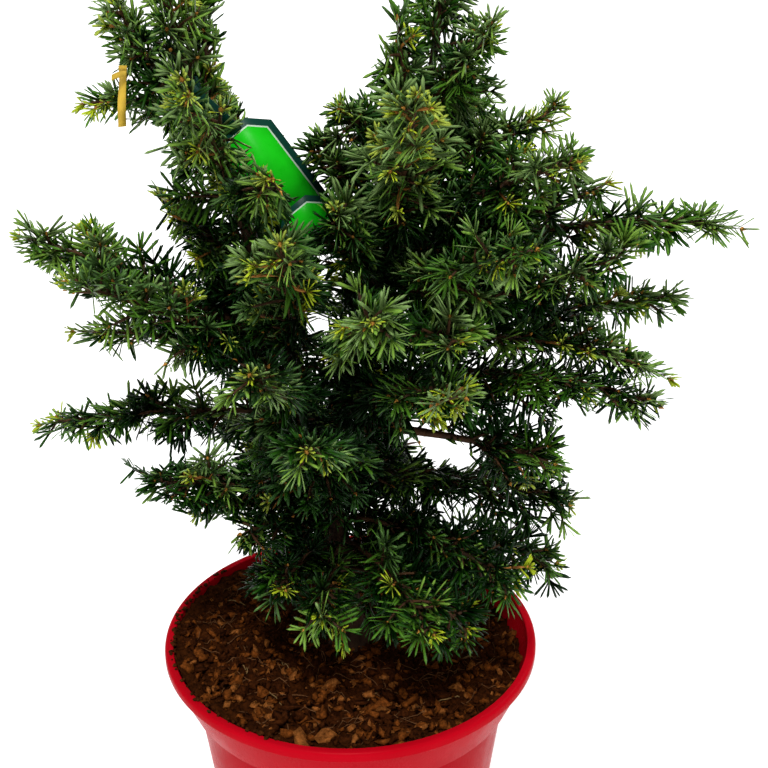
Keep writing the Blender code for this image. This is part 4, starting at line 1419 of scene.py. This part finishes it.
def make_wood(limbs):
    rough = bark_material("bark_rough")
    trunk, leaders, boughs = Heap(), Heap(), Heap()
    bark_tube(trunk, limbs["trunk"], TRUNK_BARK, 1, limbs["trunk"].radii, lobed=True)
    trunk.piece("bark_trunk", rough, "bark", ["trunk"], SMOOTH_BARK)
    for seed, name in enumerate(STEM_AND_LEADERS[1:], 5):
        bark_tube(leaders, limbs[name], LEADER_BARK, seed, limbs[name].radii)
    leaders.piece("bark_leaders", rough, "bark", ["leader_left", "leader_right"], SMOOTH_BARK)
    for seed, name in enumerate(BOUGHS, 20):
        limb, share = limbs[name], BRANCHES[name].bare
        bark_tube(boughs, limb, BOUGH_BARK, seed, (limb.radius(0.0), limb.radius(share)),
                  share + BOUGH_OVERLAP)
    bare_nodes = [name for name in frame["nodes"] if name.startswith("bough_")]
    boughs.piece("bark_boughs", bark_material("bark_young"), "bark", bare_nodes, SMOOTH_BARK)


# Pot

def arc(middle, radius, first, last):
    """Radius and height pairs on a quarter round, with angles in degrees."""
    return [(middle[0] + radius * math.cos(math.radians(angle)),
             middle[1] + radius * math.sin(math.radians(angle)))
            for angle in np.linspace(first, last, ARC_STEPS)]


def inner_radius(height):
    """Radius of the pot's inner wall at a height."""
    stations = (
        (POT_FLOOR, BODY_FOOT_RADIUS - POT_WALL),
        (POT_HEIGHT - BAND_DEPTH - POT_WALL, BODY_TOP_RADIUS - POT_WALL),
        (POT_HEIGHT - BAND_DEPTH + POT_WALL, BAND_FOOT_RADIUS - POT_WALL),
        (POT_HEIGHT - LIP_DEPTH, RIM_RADIUS - LIP_WIDTH),
        (POT_HEIGHT, RIM_RADIUS - LIP_WIDTH),
    )
    return float(np.interp(height, *zip(*stations)))


def pot_profile():
    """Radius and height from the middle of the floor up inside and down outside."""
    foot = POT_HEIGHT - BAND_DEPTH
    profile = [(0.0, POT_FLOOR)]
    for height in (POT_FLOOR, foot - POT_WALL, foot + POT_WALL, POT_HEIGHT - LIP_DEPTH):
        profile.append((inner_radius(height), height))
    inside = RIM_RADIUS - LIP_WIDTH
    profile += arc((inside + LIP_STEP, POT_HEIGHT - LIP_STEP), LIP_STEP, 180.0, 90.0)
    round_lip = 2.0 * LIP_ROUND
    profile += arc((RIM_RADIUS - round_lip, POT_HEIGHT - round_lip), round_lip, 90.0, 0.0)
    profile += arc((RIM_RADIUS - LIP_ROUND, POT_HEIGHT - LIP_DEPTH), LIP_ROUND, 0.0, -90.0)
    profile.append((RIM_RADIUS - 1.6 * LIP_ROUND, POT_HEIGHT - LIP_DEPTH - LIP_ROUND))
    profile += arc((BAND_FOOT_RADIUS - LIP_ROUND, foot + LIP_ROUND), LIP_ROUND, -12.0, -90.0)
    profile.append((BODY_TOP_RADIUS + LIP_STEP, foot))
    profile += arc((BODY_TOP_RADIUS + LIP_STEP, foot - LIP_STEP), LIP_STEP, 90.0, 180.0)
    profile += arc((BODY_FOOT_RADIUS - FOOT_ROUND, FOOT_ROUND), FOOT_ROUND, 0.0, -90.0)
    profile.append((0.0, 0.0))
    return profile


def make_pot():
    points = []
    rings = []
    for radius, height in pot_profile():
        add_ring(points, rings, level_ring(radius, height, POT_SEGMENTS if radius > 0.0 else 1))
    pot = mesh_object("pot_shell", points, bridged(rings), [red_material()])
    outwards(pot)
    for angle in circle(DRAIN_HOLES):
        drain(pot, DRAIN_RING * math.cos(angle), DRAIN_RING * math.sin(angle))
    smooth(pot, SMOOTH_POT)
    declare(pot, ["pot"])


def drain(pot, x, y):
    """Cuts one drain hole through the pot's floor."""
    points = [point for height in (-POT_FLOOR, 2.0 * POT_FLOOR)
              for point in level_ring(DRAIN_RADIUS, height, DRAIN_SEGMENTS, x, y)]
    cutter = mesh_object("drain_cutter", points, bar(rows_of(2, DRAIN_SEGMENTS)))
    outwards(cutter)
    step = pot.modifiers.new("drain", "BOOLEAN")
    step.operation = "DIFFERENCE"
    step.solver = "EXACT"
    step.object = cutter
    graph = bpy.context.evaluated_depsgraph_get()
    mesh = bpy.data.meshes.new_from_object(pot.evaluated_get(graph))
    pot.modifiers.clear()
    pot.data = mesh
    bpy.data.objects.remove(cutter)


# Soil

def soil_height(x, y):
    """Height of the soil's rolling top."""
    radius = math.hypot(x, y) / RIM_RADIUS
    lift = SOIL_SLOPE * radius * math.cos(math.atan2(y, x) - math.radians(SOIL_HIGH_SIDE))
    place = Vector((x, y, 0.0))
    roll = SOIL_ROLL * noise.noise(place * SOIL_ROLLS)
    coarse, fine = SOIL_CRUMBS
    crumb = SOIL_CRUMB * (noise.noise(place * coarse) + 0.6 * noise.noise(place * fine))
    away = math.hypot(x - TRUNK_FOOT.x, y - TRUNK_FOOT.y) / SOIL_FLAT_REACH
    away = min(1.0, away)
    return SOIL_LEVEL + (lift + roll) * away + crumb


def make_soil():
    ground = Heap()
    edge = inner_radius(SOIL_LEVEL) - SOIL_EDGE
    points = [(0.0, 0.0, soil_height(0.0, 0.0))]
    rings = [[0]]
    for number in range(1, SOIL_CIRCLES + 1):
        ring = []
        for angle in circle(SOIL_SPOKES):
            radius = edge * number / SOIL_CIRCLES
            height = soil_height(radius * math.cos(angle), radius * math.sin(angle))
            if number == SOIL_CIRCLES:
                radius = inner_radius(height) - SOIL_EDGE
            ring.append((radius * math.cos(angle), radius * math.sin(angle), height))
        add_ring(points, rings, ring)
    for height in (POT_HEIGHT - BAND_DEPTH + POT_WALL, POT_HEIGHT - BAND_DEPTH - POT_WALL,
                   POT_FLOOR + GAP):
        ring = level_ring(inner_radius(height) - 2.0 * GAP, height, SOIL_SPOKES)
        add_ring(points, rings, ring)
    add_ring(points, rings, [(0.0, 0.0, POT_FLOOR + GAP)])
    ground.add(points, bridged(rings))
    ground.piece("soil_ground", soil_material("soil_dark"), "soil", ["soil"], SMOOTH_SOIL)


def scatter(rng, front=0.0):
    """A place on the soil, more often at the front where the pull is above zero."""
    while True:
        x = rng.uniform(-1.0, 1.0)
        y = rng.uniform(-1.0, 1.0)
        if math.hypot(x, y) < LITTER_REACH and rng.random() < 1.0 - front * (y + 1.0) / 2.0:
            reach = inner_radius(SOIL_LEVEL) - LITTER_EDGE
            return x * reach, y * reach


def turned(rng, tilt):
    """A random turn about the upright, tilted by up to some degrees."""
    turn = Matrix.Rotation(rng.uniform(0.0, 2.0 * math.pi), 3, "Z")
    axis = Vector((rng.uniform(-1.0, 1.0), rng.uniform(-1.0, 1.0), 0.0)).normalized()
    return Matrix.Rotation(math.radians(rng.uniform(0.0, tilt)), 3, axis) @ turn


def chip(heap, rng, place, length):
    """A flat flake of bark with an uneven outline."""
    width = length * rng.uniform(*CHIP_WIDTHS)
    thick = length * rng.uniform(*CHIP_THICKNESSES)
    spin = turned(rng, CHIP_TILT)
    points = []
    outline = [(rng.uniform(*CHIP_OUTLINE),
                angle + rng.uniform(-CHIP_CORNER_TURN, CHIP_CORNER_TURN))
               for angle in circle(CHIP_CORNERS)]
    for level, shrink in ((-0.5, 0.9), (0.5, 1.0)):
        for reach, angle in outline:
            local = Vector((length / 2.0 * reach * math.cos(angle) * shrink,
                            width / 2.0 * reach * math.sin(angle) * shrink,
                            thick * (level + rng.uniform(-CHIP_UNEVENNESS, CHIP_UNEVENNESS))))
            points.append(tuple(place + spin @ local))
    heap.add(points, bar(rows_of(2, CHIP_CORNERS)))


def crumb(heap, rng, place, radius):
    """A small uneven lump."""
    spin = turned(rng, 180.0)
    points = []
    for level, count in CRUMB_RINGS:
        ring = math.sqrt(max(0.0, 1.0 - level * level))
        for angle in circle(count):
            reach = radius * rng.uniform(*CRUMB_SPREAD)
            local = Vector((ring * math.cos(angle), ring * math.sin(angle),
                            CRUMB_FLATNESS * level)) * reach
            points.append(tuple(place + spin @ local))
    heap.add(points, bridged([[0], list(range(1, 6)), list(range(6, 11)), [11]]))


def fibre(heap, rng, place, length, radius):
    """A thin curved strand that lies on the soil."""
    heading = rng.uniform(0.0, 2.0 * math.pi)
    bend = rng.uniform(-FIBRE_BEND, FIBRE_BEND)
    path = [np.array(place)]
    stride = length / FIBRE_STEPS
    for step in range(FIBRE_STEPS):
        heading += bend / FIBRE_STEPS
        ahead = path[-1] + np.array([math.cos(heading), math.sin(heading), 0.0]) * stride
        if math.hypot(ahead[0], ahead[1]) > inner_radius(SOIL_LEVEL) - LITTER_EDGE:
            return
        low, arch = FIBRE_LIFTS
        lift = low + arch * math.sin(math.pi * (step + 1) / FIBRE_STEPS)
        ahead[2] = soil_height(ahead[0], ahead[1]) + lift * rng.uniform(0.4, 1.0)
        path.append(ahead)
    heap.add(*round_bar(np.array(path), (radius, radius), 3, (0.0, 0.0, 1.0), False))


def litter_soil():
    """Bark chips, crumbs, fibres and straws on the soil, and crumbs on the rim's high side."""
    rng = random.Random(SOIL_SEED)
    chips = {kind: Heap() for kind in CHIP_KINDS}
    for _ in range(CHIP_COUNT):
        x, y = scatter(rng, CHIPS_IN_FRONT)
        coarse = 1.0 - CHIP_FADE * (y / RIM_RADIUS + 1.0) / 2.0
        low, high = CHIP_LENGTHS
        rarity, fading = CHIP_POWERS
        length = low + (high - low) * rng.random() ** rarity * coarse ** fading
        kind = rng.choices(list(CHIP_KINDS), list(CHIP_KINDS.values()))[0]
        place = Vector((x, y, soil_height(x, y) + CHIP_SEAT * length))
        chip(chips[kind], rng, place, length)
    crumbs, fibres, straws = Heap(), Heap(), Heap()
    for _ in range(CRUMB_COUNT):
        x, y = scatter(rng)
        radius = rng.uniform(*CRUMB_RADII)
        place = Vector((x, y, soil_height(x, y) + CRUMB_SEAT * radius))
        crumb(crumbs, rng, place, radius)
    for _ in range(RIM_CRUMBS):
        angle = math.radians(rng.uniform(*RIM_CRUMB_SIDES))
        inner, span, power = RIM_CRUMB_PLACES
        ring = RIM_RADIUS - LIP_WIDTH * (inner - span * rng.random() ** power)
        radius = rng.uniform(*RIM_CRUMB_RADII)
        crumb(crumbs, rng, Vector((ring * math.cos(angle), ring * math.sin(angle),
                                   POT_HEIGHT + 0.5 * radius)), radius)
    for heap, count, front, lengths, radius in (
            (fibres, FIBRE_COUNT, 0.0, FIBRE_LENGTHS, FIBRE_RADIUS),
            (straws, STRAW_COUNT, STRAWS_IN_FRONT, STRAW_LENGTHS, STRAW_RADIUS)):
        for _ in range(count):
            x, y = scatter(rng, front)
            fibre(heap, rng, (x, y, soil_height(x, y)), rng.uniform(*lengths), radius)
    finished = [("soil_chips_" + kind, heap, "chip_" + kind) for kind, heap in chips.items()]
    finished += [("soil_crumbs", crumbs, "crumb_brown"), ("soil_fibres", fibres, "fibre_brown"),
                 ("soil_straws", straws, "straw_pale")]
    for name, heap, tone in finished:
        heap.piece(name, soil_material(tone), "soil", ["soil"])


# Hang tag

def tag_axes():
    """Long, wide and thick directions of the tag's plate."""
    along = (TAG_TOE - TAG_HEAD).normalized()
    wide = along.cross(TAG_FACING).normalized()
    return along, wide, wide.cross(along)


def tag_plate_near(points):
    """Which points lie in the tag's plate or within its clearance."""
    along, wide, thick = (np.array(tuple(axis)) for axis in tag_axes())
    local = points - np.array(tuple((TAG_HEAD + TAG_TOE) / 2.0))
    half_length = (TAG_TOE - TAG_HEAD).length / 2.0
    inside = np.abs(local @ thick) < TAG_THICKNESS / 2.0 + TAG_CLEARANCE
    inside &= np.abs(local @ along) < half_length + TAG_CLEARANCE
    inside &= np.abs(local @ wide) < TAG_WIDTH / 2.0 + TAG_CLEARANCE
    return inside


def strap_path(leader):
    """From inside the plate's head to an elbow in front of the leader and into the ring."""
    hold, upwards = leader.at(RING_PLACE)
    towards = TAG_FACING - upwards * TAG_FACING.dot(upwards)
    towards.normalize()
    ring_middle = leader.radius(RING_PLACE) + 2.0 * GAP + RING_WALL / 2.0
    along = tag_axes()[0]
    return [TAG_HEAD + along * STRAP_SINK, hold + towards * STRAP_ELBOW,
            hold + towards * ring_middle]


def panel_outline(start, end, inset):
    """A panel with its two head corners cut off, drawn in by an inset."""
    half = TAG_WIDTH / 2.0 - inset
    cut = TAG_CHAMFER - inset * (2.0 - math.sqrt(2.0))
    return [(start + inset, -half + cut), (start + inset, half - cut),
            (start + inset + cut, half),
            (end - inset, half), (end - inset, -half), (start + inset + cut, -half)]


def layer(heap, outline, low, high):
    """A flat plate on the tag between two heights over its middle."""
    along, wide, thick = tag_axes()
    points = [tuple(TAG_HEAD + along * far + wide * across + thick * height)
              for height in (low, high) for far, across in outline]
    heap.add(points, bar(rows_of(2, len(outline))))


def make_tag(leader):
    length = (TAG_TOE - TAG_HEAD).length
    half = TAG_THICKNESS / 2.0
    base = half - 3.0 * TAG_STEP
    second = half - TAG_STEP
    last = length - PANEL_END
    card, lines, panels = Heap(), Heap(), Heap()
    layer(card, panel_outline(0.0, length, 0.0), -half, base)
    layer(card, panel_outline(SECOND_PANEL, last, 0.0), second - TAG_STEP, second)
    strap(card, leader)
    for start, end, floor in ((0.0, length, base), (SECOND_PANEL, last, second)):
        layer(lines, panel_outline(start, end, TAG_BORDER), floor - TAG_STEP,
              floor + 0.5 * TAG_STEP)
        layer(panels, panel_outline(start, end, TAG_BORDER + TAG_LINE), floor - TAG_STEP,
              floor + TAG_STEP)
    for heap, name, tone in ((card, "tag_card", "tag_dark"), (lines, "tag_lines", "tag_pale"),
                             (panels, "tag_panels", "tag_green")):
        heap.piece(name, card_material(tone), "tag_plastic", ["tag"])


def strap(heap, leader):
    """The strap and its ring, in the source's places."""
    _, wide, thick = tag_axes()
    hold, upwards = leader.at(RING_PLACE)
    middles = strap_path(leader)
    widths = [wide, (wide - upwards).normalized(), -upwards]
    facings = [thick, TAG_FACING.normalized(), wide]
    points = []
    for middle, broad, facing in zip(middles, widths, facings):
        flat = (facing - broad * facing.dot(broad)).normalized()
        points += section(middle, broad, flat, STRAP_WIDTH / 2.0, STRAP_THICKNESS / 2.0)
    heap.add(points, bar(rows_of(len(middles), len(CORNERS))))
    side = upwards.cross(Vector((0.0, 1.0, 0.0))).normalized()
    front = upwards.cross(side)
    inner = leader.radius(RING_PLACE) + 2.0 * GAP
    corners = ((inner, -1), (inner + RING_WALL, -1), (inner + RING_WALL, 1), (inner, 1))
    points = [tuple(hold + (side * math.cos(angle) + front * math.sin(angle)) * radius
                    + upwards * (RING_HEIGHT / 2.0 * end))
              for angle in circle(RING_SEGMENTS) for radius, end in corners]
    rings = rows_of(RING_SEGMENTS, len(corners))
    heap.add(points, bridged(rings + rings[:1]))


def ribbon(heap, middles, turns, heading, width, thickness):
    """A flat band along some points, as wide as given, turned about its own run."""
    points = []
    for middle, turn in zip(middles, turns):
        across = heading.cross(Vector((0.0, -1.0, 0.0))).normalized()
        wide = across * math.cos(turn) + Vector((0.0, 1.0, 0.0)) * math.sin(turn)
        flat = heading.cross(wide).normalized()
        points += section(middle, wide, flat, width / 2.0, thickness / 2.0)
    heap.add(points, bar(rows_of(len(middles), len(CORNERS))))


def make_strip():
    """The small yellow strip that hangs in the left crown, with the flap of its knot."""
    heap = Heap()
    shares = [step / STRIP_STEPS for step in range(STRIP_STEPS + 1)]
    (depth, waves), (turn, turns) = STRIP_WAVE, STRIP_TURN
    down = [STRIP_TOP + Vector((STRIP_DRIFT * share, depth * math.sin(waves * share),
                                -STRIP_LENGTH * share)) for share in shares]
    ribbon(heap, down, [turn * math.sin(turns * share) for share in shares],
           Vector((0.0, 0.0, -1.0)), STRIP_WIDTH, STRIP_THICKNESS)
    x, y, z = FLAP_PLACE
    flap = [STRIP_TOP + Vector((x - FLAP_LENGTH * share, y - FLAP_DEPTH * share,
                                z - FLAP_DROOP * share ** 2)) for share in shares]
    ribbon(heap, flap, [FLAP_TURN * share for share in shares], Vector((-1.0, 0.0, 0.0)),
           FLAP_WIDTH * STRIP_WIDTH, STRIP_THICKNESS)
    heap.piece("yellow_strip", card_material("strip_yellow", STRIP_SPREAD), "tag_plastic",
               ["tag"])


# Studio

def make_camera():
    data = bpy.data.cameras.new("camera")
    data.sensor_width = SENSOR_WIDTH
    data.lens = SENSOR_WIDTH * CAMERA_FOCAL_PIXELS / IMAGE_WIDTH
    camera = bpy.data.objects.new("camera", data)
    bpy.context.scene.collection.objects.link(camera)
    tilt, roll = math.radians(CAMERA_TILT), math.radians(CAMERA_ROLL)
    right = Vector((1.0, 0.0, 0.0))
    up = Vector((0.0, math.sin(tilt), math.cos(tilt)))
    ahead = Vector((0.0, math.cos(tilt), -math.sin(tilt)))
    turned_right = right * math.cos(roll) - up * math.sin(roll)
    turned_up = right * math.sin(roll) + up * math.cos(roll)
    matrix = Matrix((turned_right, turned_up, -ahead)).transposed().to_4x4()
    matrix.translation = CAMERA_PLACE
    camera.matrix_world = matrix
    bpy.context.scene.camera = camera


def make_sun(name, place, strength, spread):
    """A distant soft lamp that shines from a place towards the origin."""
    data = bpy.data.lights.new(name, "SUN")
    data.energy = strength
    data.angle = math.radians(spread)
    light = bpy.data.objects.new(name, data)
    bpy.context.scene.collection.objects.link(light)
    light.rotation_euler = (-Vector(place)).to_track_quat("-Z", "Y").to_euler()


def make_studio():
    corners = [(FLOOR_REACH * x, FLOOR_REACH * y, 0.0) for x, y in CORNERS]
    floor = mesh_object("studio_floor_sheet", corners, [(0, 1, 2), (0, 2, 3)],
                        [floor_material()])
    world = bpy.data.worlds.new("studio")
    world.use_nodes = True
    background = world.node_tree.nodes["Background"]
    background.inputs["Color"].default_value = (1.0, 1.0, 1.0, 1.0)
    background.inputs["Strength"].default_value = SKY_STRENGTH
    bpy.context.scene.world = world
    for name, lamp in LAMPS.items():
        make_sun(name, *lamp)
    bpy.context.scene.view_settings.view_transform = "Standard"


make_camera()
make_studio()
limbs = lay_out_limbs()
box = (np.array(cad_low_high[0]) + BOX_MARGIN, np.array(cad_low_high[1]) - BOX_MARGIN)
space = Space(limbs, box)
mass_nodes = [name for name in frame["nodes"] if name.startswith("needles_")]

make_pot()
make_soil()
litter_soil()
make_wood(limbs)
growth = grow_foliage(limbs, space)
growth.needle_pieces(mass_nodes)
for age, twigs in growth.twigs.items():
    twigs.piece("twigs_" + age, twig_material("twig_" + age), "bark", mass_nodes)
growth.buds.piece("buds", twig_material("bud_brown"), "needles", mass_nodes, SMOOTH_BUDS)
make_tag(limbs["leader_left"])
make_strip()
